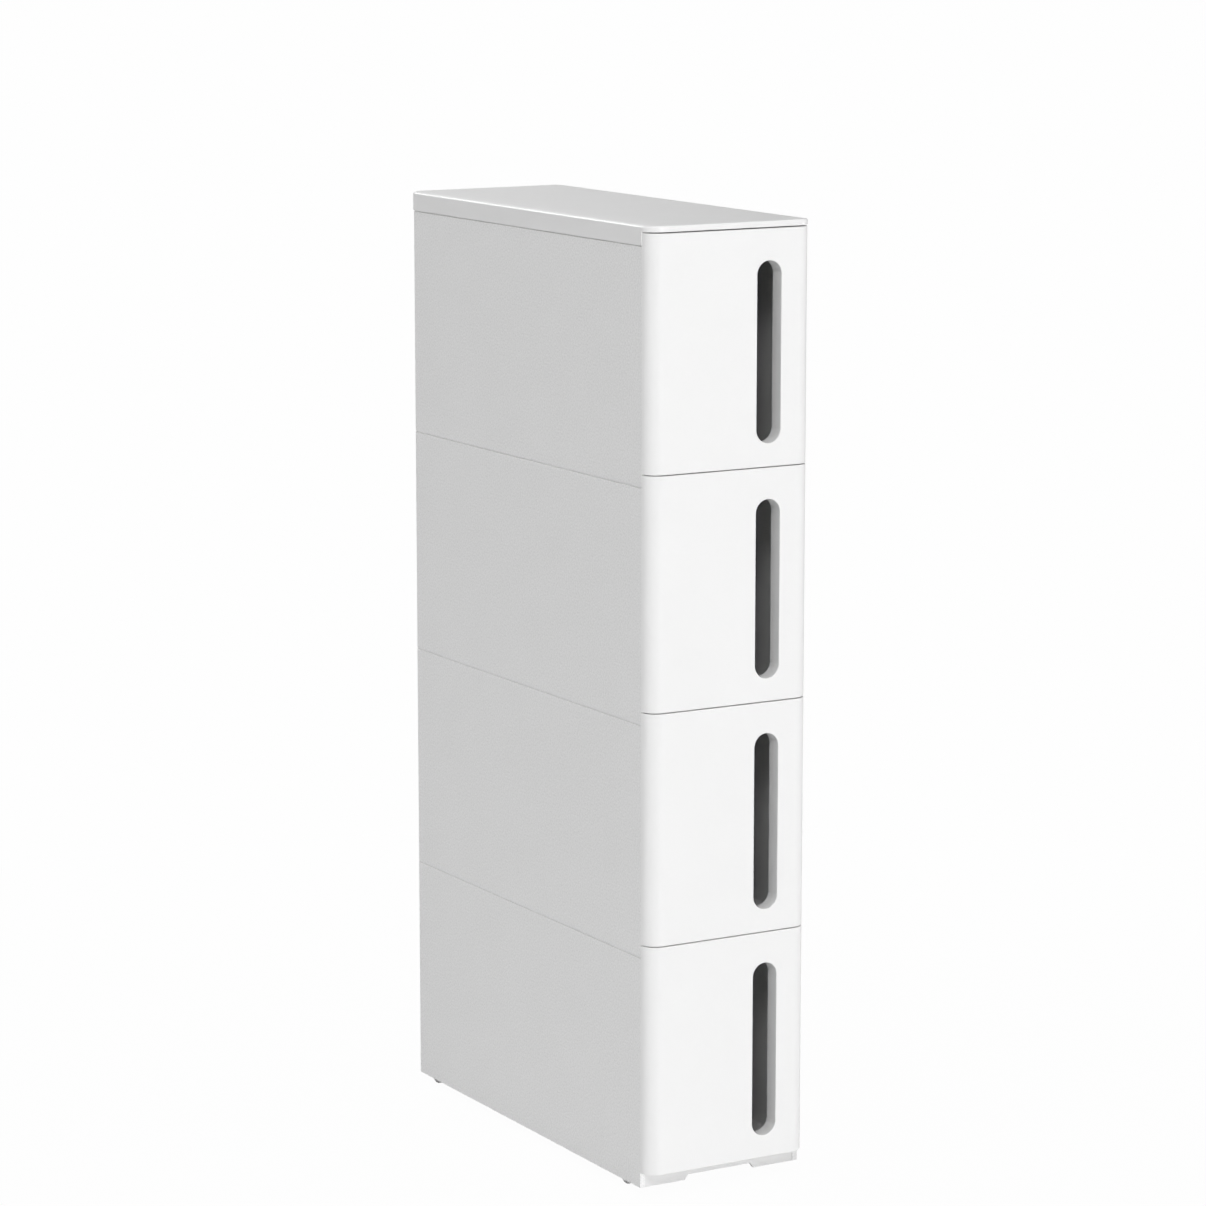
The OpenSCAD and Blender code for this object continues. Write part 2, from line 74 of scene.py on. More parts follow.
# How far a cutter runs past what it cuts, and a rib's root into its wall
PAST = 1.0 * MM
ROOT = 0.4 * MM
TIERS = 4

Rgb = tuple[float, float, float]
Socket = bpy.types.NodeSocket
# Corners of a section: place along the axis and distance from it
Section = Sequence[tuple[float, float]]


class Working(Enum):
    """How one solid is worked into another."""

    ADD = "UNION"
    CUT = "DIFFERENCE"
    KEEP = "INTERSECT"


class Slot(Enum):
    """The record's material slots."""

    SHELL = "white_shell"
    FRONT = "white_front"
    BIN = "white_bin"
    LID = "white_lid"
    PLINTH = "white_plinth"
    HOUSING = "grey_housing"
    ROLLER = "grey_roller"
    AXLE = "axle_steel"


class Corner(Enum):
    """The tower's four lower corners, each with its caster."""

    FRONT_LEFT = "front_left"
    FRONT_RIGHT = "front_right"
    BACK_LEFT = "back_left"
    BACK_RIGHT = "back_right"


# ---- Solids ----


@dataclass(frozen=True)
class Plan:
    """A rectangle seen from above, with round corners at the front and back.

    Attributes:
        half_w: Half of its width, with its middle at X = 0.
        front: Y of its front side.
        back: Y of its back side.
        front_r: Radius of its front corners.
        back_r: Radius of its back corners.
    """

    half_w: float
    front: float
    back: float
    front_r: float = 0.0
    back_r: float = 0.0

    def inset(self, by: float) -> "Plan":
        """The same plan, drawn in by a distance on every side."""
        return Plan(
            self.half_w - by,
            self.front + by,
            self.back - by,
            max(self.front_r - by, 0.0),
            max(self.back_r - by, 0.0),
        )


def middle(edge: BMEdge) -> Vector:
    """Middle of an edge."""
    return (edge.verts[0].co + edge.verts[1].co) / 2


def runs_along(edge: BMEdge, axis: int) -> bool:
    """Whether an edge runs straight along an axis, given as 0, 1 or 2."""
    span = edge.verts[1].co - edge.verts[0].co
    return abs(span[axis]) > span.length * STRAIGHT


def level_at(edge: BMEdge, height: float) -> bool:
    """Whether both ends of an edge lie at a height."""
    return all(abs(vert.co.z - height) < TINY for vert in edge.verts)


def is_sharp(edge: BMEdge) -> bool:
    """Whether the two faces at an edge meet in a clear corner."""
    return edge.calc_face_angle(0.0) > math.radians(SHARP_DEGREES)


def quarter_round(radius: float, steps: int) -> list[tuple[float, float]]:
    """The corners of a quarter round, each as its distances from the two sides that it joins.

    Args:
        radius: Radius of the rounding.
        steps: Number of flats across it.

    Returns:
        For each corner, its distance from the side that the round starts on, and from the other.
    """
    turns = [math.pi / 2 * i / steps for i in range(steps + 1)]
    return [(radius * (1 - math.cos(turn)), radius * (1 - math.sin(turn))) for turn in turns]


class Solid:
    """A closed solid in the making: a bmesh, and the few moves that all the mouldings are made by."""

    # Flats across an upright corner, round a stadium's two ends together and across a soft edge
    CORNER_STEPS = 10
    STADIUM_STEPS = 64
    SOFT_STEPS = 2
    # Most turn between two faces, in degrees, that counts as none
    FLAT_DEGREES = 0.05

    def __init__(self) -> None:
        """Starts with nothing."""
        self.bm = bmesh.new()

    @classmethod
    def block(cls, low: Sequence[float], high: Sequence[float]) -> "Solid":
        """A box between two opposite corners.

        Args:
            low: The corner with the lowest coordinates.
            high: The corner with the highest coordinates.

        Returns:
            The box as a closed solid.
        """
        solid = cls()
        solid.add_block(low, high)
        return solid

    def add_block(self, low: Sequence[float], high: Sequence[float]) -> "Solid":
        """Puts a box beside what is there already.

        Args:
            low: The corner with the lowest coordinates.
            high: The corner with the highest coordinates.

        Returns:
            This solid.
        """
        a, b = Vector(low), Vector(high)
        place = Matrix.Translation((a + b) / 2) @ Matrix.Diagonal((*(b - a), 1.0))
        bmesh.ops.create_cube(self.bm, size=1.0, matrix=place)
        return self

    @classmethod
    def upright(cls, plan: Plan, bottom: float, top: float) -> "Solid":
        """A prism that stands on a plan.

        Args:
            plan: Its outline from above.
            bottom: Height of its lower face.
            top: Height of its upper face.

        Returns:
            The prism, its corners rounded as the plan says.
        """
        solid = cls.block((-plan.half_w, plan.front, bottom), (plan.half_w, plan.back, top))
        halfway = (plan.front + plan.back) / 2
        solid.round(lambda e: runs_along(e, 2) and middle(e).y > halfway, plan.back_r, cls.CORNER_STEPS)
        solid.round(lambda e: runs_along(e, 2) and middle(e).y < halfway, plan.front_r, cls.CORNER_STEPS)
        return solid

    @classmethod
    def turned(cls, profile: Section, centre: Vector, axis: Vector, steps: int) -> "Solid":
        """A solid of revolution.

        Args:
            profile: Place along the axis and radius of each corner of the section, in order.
                A section that starts and ends on the axis is closed by its poles, any other by
                joining its last corner to its first.
            centre: The point of the axis that the places are measured from.
            axis: Direction of the axis, X or Y.
            steps: Number of flats round it.

        Returns:
            The turned solid. No corner of its section lies level with the axis.
        """
        solid = cls()
        out = Matrix.Rotation(math.pi / steps, 3, axis) @ Vector((0.0, 0.0, 1.0))
        verts = [solid.bm.verts.new(centre + axis * along + out * radius) for along, radius in profile]
        edges = [solid.bm.edges.new(pair) for pair in zip(verts, verts[1:])]
        if profile[0][1] > 0:
            edges.append(solid.bm.edges.new((verts[-1], verts[0])))
        around = {"cent": centre, "axis": axis, "angle": math.tau, "steps": steps}
        bmesh.ops.spin(solid.bm, geom=[*verts, *edges], use_merge=True, **around)
        solid.tidy()
        return solid

    @classmethod
    def stadium(cls, profile: Section, foot: Vector, rise: float) -> "Solid":
        """A solid with straight sides and round ends, along Y.

        Args:
            profile: Place along Y and radius of each corner of its section.
            foot: Centre of its lower round end, at the place that the profile is measured from.
            rise: Distance up to the centre of its upper round end.

        Returns:
            The stretched solid of revolution.
        """
        solid = cls.turned(profile, foot, Vector((0.0, 1.0, 0.0)), cls.STADIUM_STEPS)
        upper = [vert for vert in solid.bm.verts if vert.co.z > foot.z + TINY]
        bmesh.ops.translate(solid.bm, verts=upper, vec=(0.0, 0.0, rise))
        poles = [vert for vert in solid.bm.verts if (vert.co - foot).xz.length < TINY]
        bmesh.ops.translate(solid.bm, verts=poles, vec=(0.0, 0.0, rise / 2))
        return solid

    def tidy(self) -> "Solid":
        """Merges doubled points and turns every face outwards.

        Returns:
            This solid.
        """
        bmesh.ops.remove_doubles(self.bm, verts=self.bm.verts, dist=MERGE)
        bmesh.ops.recalc_face_normals(self.bm, faces=self.bm.faces)
        return self

    def round(self, picks: Callable[[BMEdge], bool], radius: float, steps: int = 3) -> "Solid":
        """Rounds edges.

        Args:
            picks: Says of an edge whether it is rounded.
            radius: Radius of the rounding.
            steps: Number of flats across it.

        Returns:
            This solid.
        """
        edges = [edge for edge in self.bm.edges if picks(edge)]
        if radius > 0 and edges:
            bmesh.ops.bevel(
                self.bm,
                geom=edges,
                offset=radius,
                offset_type="OFFSET",
                segments=steps,
                profile=0.5,
                affect="EDGES",
                material=-1,
                clamp_overlap=False,
                loop_slide=False,
            )
            self.tidy()
        return self

    def soften(self, radius: float) -> "Solid":
        """Rounds every sharp edge a little."""
        return self.round(is_sharp, radius, self.SOFT_STEPS)

    def work(self, other: "Solid", how: Working) -> "Solid":
        """Adds another solid to this one, cuts it out or keeps what both hold.

        Args:
            other: The other solid, which is used up.
            how: What is done with it.

        Returns:
            This solid.
        """
        body, tool = self.as_object("body"), other.as_object("tool")
        modifier = body.modifiers.new("work", "BOOLEAN")
        modifier.operation = how.value
        modifier.solver = "MANIFOLD"
        modifier.object = tool
        graph = bpy.context.evaluated_depsgraph_get()
        made = bpy.data.meshes.new_from_object(body.evaluated_get(graph))
        self.bm.clear()
        self.bm.from_mesh(made)
        for mesh in (made, body.data, tool.data):
            bpy.data.meshes.remove(mesh)
        other.bm.free()
        bmesh.ops.remove_doubles(self.bm, verts=self.bm.verts, dist=MERGE)
        flat = math.radians(self.FLAT_DEGREES)
        bmesh.ops.dissolve_limit(
            self.bm, angle_limit=flat, verts=self.bm.verts, edges=self.bm.edges, delimit=set()
        )
        return self

    def add(self, other: "Solid") -> "Solid":
        """Joins another solid to this one."""
        return self.work(other, Working.ADD)

    def cut(self, other: "Solid") -> "Solid":
        """Cuts another solid out of this one."""
        return self.work(other, Working.CUT)

    def keep(self, other: "Solid") -> "Solid":
        """Keeps what lies in another solid too."""
        return self.work(other, Working.KEEP)

    def as_object(self, name: str) -> bpy.types.Object:
        """Puts a copy of this solid into the scene.

        Args:
            name: Name of the object and its mesh.

        Returns:
            The object, at the origin.
        """
        mesh = bpy.data.meshes.new(name)
        self.bm.to_mesh(mesh)
        made = bpy.data.objects.new(name, mesh)
        bpy.context.scene.collection.objects.link(made)
        return made


# ---- Finishes ----


class Wiring:
    """A node tree in the making."""

    # Distance between neighbouring nodes in the editor
    COLUMN = 220

    def __init__(self, tree: bpy.types.NodeTree) -> None:
        """Starts with an empty tree.

        Args:
            tree: The tree to fill.
        """
        self.tree = tree
        self.tree.nodes.clear()

    def add(self, kind: str, **settings: object) -> bpy.types.Node:
        """Adds a node, right of the last one.

        Args:
            kind: The node's type, without its ShaderNode.
            settings: Properties to set on it.

        Returns:
            The node.
        """
        node = self.tree.nodes.new(kind if kind.startswith("NodeGroup") else f"ShaderNode{kind}")
        node.location = (self.COLUMN * (len(self.tree.nodes) - 1), 0)
        for name, value in settings.items():
            setattr(node, name, value)
        return node

    def link(self, source: Socket, target: Socket) -> None:
        """Joins an output to an input."""
        self.tree.links.new(source, target)

    def math(self, operation: str, left: float | Socket, right: float | Socket) -> Socket:
        """Works two numbers or outputs into one.

        Args:
            operation: The Math node's operation.
            left: A number or an output.
            right: A number or an output.

        Returns:
            The node's output.
        """
        node = self.add("Math", operation=operation)
        for socket, given in zip(node.inputs, (left, right)):
            if isinstance(given, Socket):
                self.link(given, socket)
            else:
                socket.default_value = given
        return node.outputs["Value"]

    def between(self, mask: Socket, low: float, high: float) -> Socket:
        """Turns a mask into a number between two others.

        Args:
            mask: The mask's output.
            low: The number where the mask is 0.
            high: The number where the mask is 1.

        Returns:
            The number's output.
        """
        node = self.add("MapRange")
        node.inputs["To Min"].default_value = low
        node.inputs["To Max"].default_value = high
        self.link(mask, node.inputs["Value"])
        return node.outputs["Result"]

    def bump(self, height: Socket, depth: float, under: Socket | None = None) -> Socket:
        """Turns a height into a normal.

        Args:
            height: The height's output, from 0 to 1.
            depth: Distance from its lowest to its highest place.
            under: Normal of the coarser relief that it lies on.

        Returns:
            The normal's output.
        """
        node = self.add("Bump")
        node.inputs["Distance"].default_value = depth
        self.link(height, node.inputs["Height"])
        if under is not None:
            self.link(under, node.inputs["Normal"])
        return node.outputs["Normal"]


class MouldTexture:
    """The shared node group: what a mould and its filling leave on a plastic surface.

    It puts out the fine grain of the mould and the slow ripple of a thin wall as heights, and a
    drift over the surface as a mask.
    """

    NAME = "mould texture"
    INPUTS = ("Grain Size", "Ripple Size", "Drift Size")
    OUTPUTS = ("Grain", "Ripple", "Drift")
    # Fine layers in each of them, and how strong each layer is beside the one before
    LAYERS = (2.0, 0.0, 3.0)
    LAYER_SHARES = (0.55, 0.5, 0.5)

    @classmethod
    def group(cls) -> bpy.types.NodeTree:
        """The node group, built the first time that it is asked for."""
        return bpy.data.node_groups.get(cls.NAME) or cls.build()

    @classmethod
    def build(cls) -> bpy.types.NodeTree:
        """Builds the node group.

        Returns:
            The group, its sizes in metres.
        """
        tree = bpy.data.node_groups.new(cls.NAME, "ShaderNodeTree")
        for name in cls.INPUTS:
            tree.interface.new_socket(name=name, in_out="INPUT", socket_type="NodeSocketFloat")
        for name in cls.OUTPUTS:
            tree.interface.new_socket(name=name, in_out="OUTPUT", socket_type="NodeSocketFloat")
        wiring = Wiring(tree)
        given, result = wiring.add("NodeGroupInput"), wiring.add("NodeGroupOutput")
        place = wiring.add("TexCoord").outputs["Object"]
        for size, out, layers, share in zip(cls.INPUTS, cls.OUTPUTS, cls.LAYERS, cls.LAYER_SHARES):
            noise = wiring.add("TexNoise", noise_dimensions="3D")
            noise.inputs["Detail"].default_value = layers
            noise.inputs["Roughness"].default_value = share
            wiring.link(place, noise.inputs["Vector"])
            wiring.link(wiring.math("DIVIDE", 1.0, given.outputs[size]), noise.inputs["Scale"])
            wiring.link(noise.outputs["Fac"], result.inputs[out])
        return tree


@dataclass(frozen=True)
class MouldedPlastic:
    """Injection-moulded plastic.

    Attributes:
        name: Name of the material.
        tone: Its colour.
        shade: The colour that it drifts to in places.
        roughness: Roughness where it is smoothest.
        roughness_drift: How much rougher it gets in places.
        grain_size: Size of the mould's fine grain.
        grain_depth: Depth of that grain.
        grain_tint: How far the colour lightens and darkens with the grain, as a share of it.
        ripple_size: Size of the slow ripple of a thin wall.
        ripple_depth: Depth of that ripple.
        drift_size: Size of the patches that differ in colour and gloss.
    """

    name: str
    tone: Rgb
    shade: Rgb
    roughness: float = 0.4
    roughness_drift: float = 0.08
    grain_size: float = 0.5 * MM
    grain_depth: float = 0.01 * MM
    grain_tint: float = 0.02
    ripple_size: float = 60 * MM
    ripple_depth: float = 0.05 * MM
    drift_size: float = 40 * MM

    # Refractive index of such plastics
    IOR = 1.49

    def material(self) -> bpy.types.Material:
        """The material, built the first time that it is asked for."""
        return bpy.data.materials.get(self.name) or self.build()

    def build(self) -> bpy.types.Material:
        """Builds the material.

        Returns:
            The material, its pattern fixed to the piece.
        """
        material = bpy.data.materials.new(self.name)
        material.use_nodes = True
        wiring = Wiring(material.node_tree)
        texture = wiring.add("Group", node_tree=MouldTexture.group())
        for name, size in zip(MouldTexture.INPUTS, (self.grain_size, self.ripple_size, self.drift_size)):
            texture.inputs[name].default_value = size
        shader = wiring.add("BsdfPrincipled")
        shader.inputs["IOR"].default_value = self.IOR
        wiring.link(self.colour(wiring, texture), shader.inputs["Base Color"])
        roughest = self.roughness + self.roughness_drift
        rough = wiring.between(texture.outputs["Drift"], self.roughness, roughest)
        wiring.link(rough, shader.inputs["Roughness"])
        ripple = wiring.bump(texture.outputs["Ripple"], self.ripple_depth)
        grain = wiring.bump(texture.outputs["Grain"], self.grain_depth, ripple)
        wiring.link(grain, shader.inputs["Normal"])
        wiring.link(shader.outputs["BSDF"], wiring.add("OutputMaterial").inputs["Surface"])
        return material

    def colour(self, wiring: Wiring, texture: bpy.types.Node) -> Socket:
        """Wires up the colour, which drifts slowly to its shade and varies finely with the grain.

        Args:
            wiring: The material's node tree.
            texture: Its mould texture.

        Returns:
            The colour's output.
        """
        drifted = wiring.add("Mix", data_type="RGBA")
        drifted.inputs["A"].default_value = (*self.tone, 1.0)
        drifted.inputs["B"].default_value = (*self.shade, 1.0)
        wiring.link(texture.outputs["Drift"], drifted.inputs["Factor"])
        tint = wiring.between(texture.outputs["Grain"], 1.0 - self.grain_tint, 1.0 + self.grain_tint)
        tinted = wiring.add("VectorMath", operation="SCALE")
        wiring.link(drifted.outputs["Result"], tinted.inputs["Vector"])
        wiring.link(tint, tinted.inputs["Scale"])
        return tinted.outputs["Vector"]


@dataclass(frozen=True)
class DrawnSteel:
    """Bright drawn steel wire, with fine lines along its length.

    Attributes:
        name: Name of the material.
        tone: Its colour.
        roughness: Its roughness between the lines.
        line_pitch: Distance between the fine lines.
        line_length: Length of the fine lines.
        line_depth: Depth of the fine lines.
        line_roughness: How many times rougher the lines are than the metal between them.
    """

    name: str
    tone: Rgb
    roughness: float = 0.28
    line_pitch: float = 0.12 * MM
    line_length: float = 6 * MM
    line_depth: float = 0.004 * MM
    line_roughness: float = 1.6

    def material(self) -> bpy.types.Material:
        """The material, built the first time that it is asked for."""
        return bpy.data.materials.get(self.name) or self.build()

    def build(self) -> bpy.types.Material:
        """Builds the material.

        Returns:
            The material, its lines running along X.
        """
        material = bpy.data.materials.new(self.name)
        material.use_nodes = True
        wiring = Wiring(material.node_tree)
        stretch = wiring.add("Mapping", vector_type="POINT")
        across = 1 / self.line_pitch
        stretch.inputs["Scale"].default_value = (1 / self.line_length, across, across)
        wiring.link(wiring.add("TexCoord").outputs["Object"], stretch.inputs["Vector"])
        lines = wiring.add("TexNoise")
        lines.inputs["Scale"].default_value = 1.0
        wiring.link(stretch.outputs["Vector"], lines.inputs["Vector"])
        shader = wiring.add("BsdfPrincipled")
        shader.inputs["Base Color"].default_value = (*self.tone, 1.0)
        shader.inputs["Metallic"].default_value = 1.0
        roughest = self.roughness * self.line_roughness
        rough = wiring.between(lines.outputs["Fac"], self.roughness, roughest)
        wiring.link(rough, shader.inputs["Roughness"])
        wiring.link(wiring.bump(lines.outputs["Fac"], self.line_depth), shader.inputs["Normal"])
        wiring.link(shader.outputs["BSDF"], wiring.add("OutputMaterial").inputs["Surface"])
        return material


Finish = MouldedPlastic | DrawnSteel

FINISHES: dict[Slot, Finish] = {
    Slot.SHELL: MouldedPlastic(
        "matt white shell",
        (0.86, 0.86, 0.86),
        (0.84, 0.84, 0.838),
        roughness=0.5,
        grain_size=1.6 * MM,
        grain_depth=0.16 * MM,
        grain_tint=0.2,
    ),
    Slot.FRONT: MouldedPlastic(
        "satin white front", (0.88, 0.88, 0.88), (0.868, 0.868, 0.866), roughness=0.5
    ),
    # Painted shade: the bin's tone is darker than the other whites so that its inside, seen through the
    # finger slot, reads as dark as the shade there.
    Slot.BIN: MouldedPlastic(
        "white bin with painted shade", (0.79, 0.79, 0.79), (0.77, 0.77, 0.768), roughness=0.42, ripple_depth=0.08 * MM
    ),
    Slot.LID: MouldedPlastic("satin white lid", (0.87, 0.87, 0.87), (0.856, 0.856, 0.854), roughness=0.28),
    # Painted shade: the plinth's tone is darker than the shell's, for the shadow that the overhanging drawer
    # fronts cast on the recessed plinth.
    Slot.PLINTH: MouldedPlastic(
        "matt white plinth with painted shade", (0.79, 0.79, 0.79), (0.775, 0.775, 0.772), roughness=0.5
    ),
    Slot.HOUSING: MouldedPlastic("grey bracket", (0.19, 0.19, 0.195), (0.16, 0.16, 0.165), roughness=0.45),
    # Painted light: the rollers' tone is paler than the record's grey, to make up for the shade that they
    # sit in under the tower.
    Slot.ROLLER: MouldedPlastic(
        "pale grey roller with painted light", (0.86, 0.86, 0.865), (0.82, 0.82, 0.825), roughness=0.5, grain_depth=0.02 * MM
    ),
    Slot.AXLE: DrawnSteel("drawn steel axle", (0.62, 0.63, 0.65)),
}


@dataclass(frozen=True)
class Piece:
    """A finished moulding's place in the model.

    Attributes:
        name: Name of the piece.
        node: The CAD node that it stands for.
        body: The body that it moves with.
        slot: The record's material slot that it takes its finish from.
    """

    name: str
    node: str
    body: str
    slot: Slot

    def present(self, solid: Solid) -> bpy.types.Object:
        """Turns a solid into the piece that is seen in place of its node.

        Args:
            solid: The finished solid, in the row frame.

        Returns:
            The piece, dressed and riding on its body.
        """
        made = solid.as_object(self.name)
        made.data.shade_smooth()
        made.data.set_sharp_from_angle(angle=math.radians(SHARP_DEGREES))
        made.data.materials.append(FINISHES[self.slot].material())
        even = made.modifiers.new("even shading", "WEIGHTED_NORMAL")
        even.keep_sharp = True
        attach(made, self.body)
        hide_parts(self.node)
        LOG.info("%s: %d faces, on %s", self.name, len(made.data.polygons), self.body)
        return made


# ---- The tower's mouldings ----


@dataclass(frozen=True)
class Walls:
    """Sizes that neighbouring mouldings share, and the frame's own lines.

    Attributes:
        side_t: Thickness of a casing's side and back walls.
        post_t: Thickness of the stiff post at the front end of each side wall.
        post_d: Length of that post along the depth.
        back_r: Outer radius of the upright corners at the back.
        beam_t: Thickness of the beam under a deck's front edge.
        beam_setback: Setback of that beam behind the front ends of the side walls.
        tongue_h: Depth to which a moulding plugs into the casing below.
        tongue_t: Thickness of that tongue.
        tongue_fit: Clearance round the tongue.
    """

    side_t: float = 2.4 * MM
    post_t: float = 5.0 * MM
    post_d: float = 8.0 * MM
    back_r: float = 12.0 * MM
    beam_t: float = 2.5 * MM
    beam_setback: float = 0.4 * MM
    tongue_h: float = 6.0 * MM
    tongue_t: float = 1.8 * MM
    tongue_fit: float = 0.25 * MM

    @property
    def outer(self) -> Plan:
        """Plan of a casing's outside."""
        low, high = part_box("casing_1")
        return Plan(high.x, low.y, high.y, 0.0, self.back_r)

    @property
    def room(self) -> Plan:
        """Plan of the room inside a casing, behind its front posts."""
        inner = self.outer.inset(self.side_t)
        return Plan(inner.half_w, self.outer.front + self.post_d, inner.back, 0.0, inner.back_r)

    @property
    def doorway_half_w(self) -> float:
        """Half of the width between the front posts."""
        return self.outer.half_w - self.post_t

    @property
    def beam_front(self) -> float:
        """Where the front beams start."""
        return self.outer.front + self.beam_setback

    def seam(self, tier: int) -> float:
        """Height of the lower edge of a casing or of the lid.

        Args:
            tier: The casing's place in the stack, 1 for the lowest, or one more than the highest.

        Returns:
            The height.
        """
        if tier == 1:
            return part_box("casing_1")[0].z
        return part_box(f"casing_{tier - 1}")[1].z

    def tongue(self, bottom: float, top: float) -> Solid:
        """The tongue that plugs into the casing below, with the thicker foot that it grows from.

        Args:
            bottom: Height of the moulding's lower edge.
            top: Height of the top of the foot.

        Returns:
            The tongue, open at the front and ready to be joined to its moulding.
        """
        fit = self.tongue_fit
        plug = Plan(
            self.room.half_w - fit, self.room.front + fit, self.room.back - fit, 0.0, self.room.back_r - fit
        )
        foot = Plan(
            self.room.half_w + ROOT, plug.front, self.room.back + ROOT, 0.0, self.room.back_r + ROOT
        )
        inside = plug.inset(self.tongue_t)
        hollow = Plan(inside.half_w, plug.front - PAST, inside.back, 0.0, inside.back_r)
        made = Solid.upright(foot, bottom, top)
        made.add(Solid.upright(plug, bottom - self.tongue_h, bottom + ROOT))
        return made.cut(Solid.upright(hollow, bottom - self.tongue_h - PAST, top + PAST))


@dataclass
class Lid:
    """The snap-on lid: a hollow plate with a rim and a thin lip over the drawer fronts.

    Attributes:
        walls: Sizes shared with the casings.
        corner_r: Radius of its upright corners at the front.
        edge_r: Rounding of its upper edge.
        slope_w: Width of the gentle slope along each long side of its top.
        slope_drop: Height that this slope loses.
        plate_t: Thickness of its plate.
        rim_t: Thickness of its rim.
        lip_gap: Gap between its lip and the highest drawer front.
        soft_r: Rounding of its other edges.
    """

    walls: Walls
    corner_r: float = 14.6 * MM
    edge_r: float = 1.6 * MM
    slope_w: float = 10.0 * MM
    slope_drop: float = 0.8 * MM
    plate_t: float = 3.0 * MM
    rim_t: float = 3.0 * MM
    lip_gap: float = 1.1 * MM
    soft_r: float = 0.15 * MM

    # Flats across its rounded upper edge and across each slope
    EDGE_STEPS = 7
    SLOPE_STEPS = 6

    def slope(self, low: Vector, high: Vector) -> Solid:
        """What is cut off above the slope along the right side.

        Args:
            low: Lowest corner of the lid.
            high: Highest corner of the lid.

        Returns:
            The cutter, its lower face falling ever more steeply towards the side.
        """
        start = high.x - self.slope_w
        made = Solid.block((start, low.y - PAST, high.z), (high.x + PAST, high.y + PAST, high.z + PAST))
        for i in range(1, self.SLOPE_STEPS + 1):
            place = (start + self.slope_w * i / self.SLOPE_STEPS, 0.0, 0.0)
            everything = [*made.bm.verts, *made.bm.edges, *made.bm.faces]
            bmesh.ops.bisect_plane(made.bm, geom=everything, plane_co=place, plane_no=(1.0, 0.0, 0.0))
        for vert in made.bm.verts:
            if vert.co.z < high.z + PAST / 2:
                share = (vert.co.x - start) / self.slope_w
                vert.co.z += TINY - self.slope_drop * share * share
        return made

    def form(self, low: Vector, high: Vector, plan: Plan) -> Solid:
        """The lid's outside, upper edge rounded all the way round.

        Args:
            low: Lowest corner of the lid.
            high: Highest corner of the lid.
            plan: Its outline from above.

        Returns:
            The filled form.
        """
        made = Solid.upright(plan, self.walls.seam(TIERS + 1), high.z)
        made.cut(self.slope(low, high))
        left = self.slope(low, high)
        bmesh.ops.scale(left.bm, verts=left.bm.verts, vec=(-1.0, 1.0, 1.0))
        made.cut(left.tidy())
        line = high.z - self.slope_drop - TINY
        made.round(
            lambda e: is_sharp(e) and all(vert.co.z > line for vert in e.verts), self.edge_r, self.EDGE_STEPS
        )
        return made

    def solid(self) -> Solid:
        """The lid as one solid.

        Returns:
            The lid in its place, with its lip, hollow and tongue.
        """
        walls = self.walls
        low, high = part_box("top_cover")
        bottom = walls.seam(TIERS + 1)
        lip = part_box(f"drawer_front_{TIERS}")[1].z + self.lip_gap
        under_plate = high.z - self.plate_t
        plan = Plan(high.x, low.y, high.y, self.corner_r, walls.back_r + high.x - walls.outer.half_w)
        made = self.form(low, high, plan)
        made.cut(
            Solid.block(
                (low.x - PAST, low.y - PAST, bottom - PAST), (high.x + PAST, walls.outer.front, lip)
            )
        )
        inside = plan.inset(self.rim_t)
        hollow = Plan(inside.half_w, walls.beam_front + walls.beam_t, inside.back, 0.0, inside.back_r)
        made.cut(Solid.upright(hollow, bottom - PAST, under_plate))
        made.cut(
            Solid.block(
                (-walls.doorway_half_w, walls.outer.front - PAST, bottom - PAST),
                (walls.doorway_half_w, walls.beam_front, lip),
            )
        )
        made.add(walls.tongue(bottom, under_plate + ROOT))
        return made.soften(self.soft_r)

    def build(self) -> None:
        """Builds and dresses the lid."""
        Piece("lid_moulding", "top_cover", "tower", Slot.LID).present(self.solid())


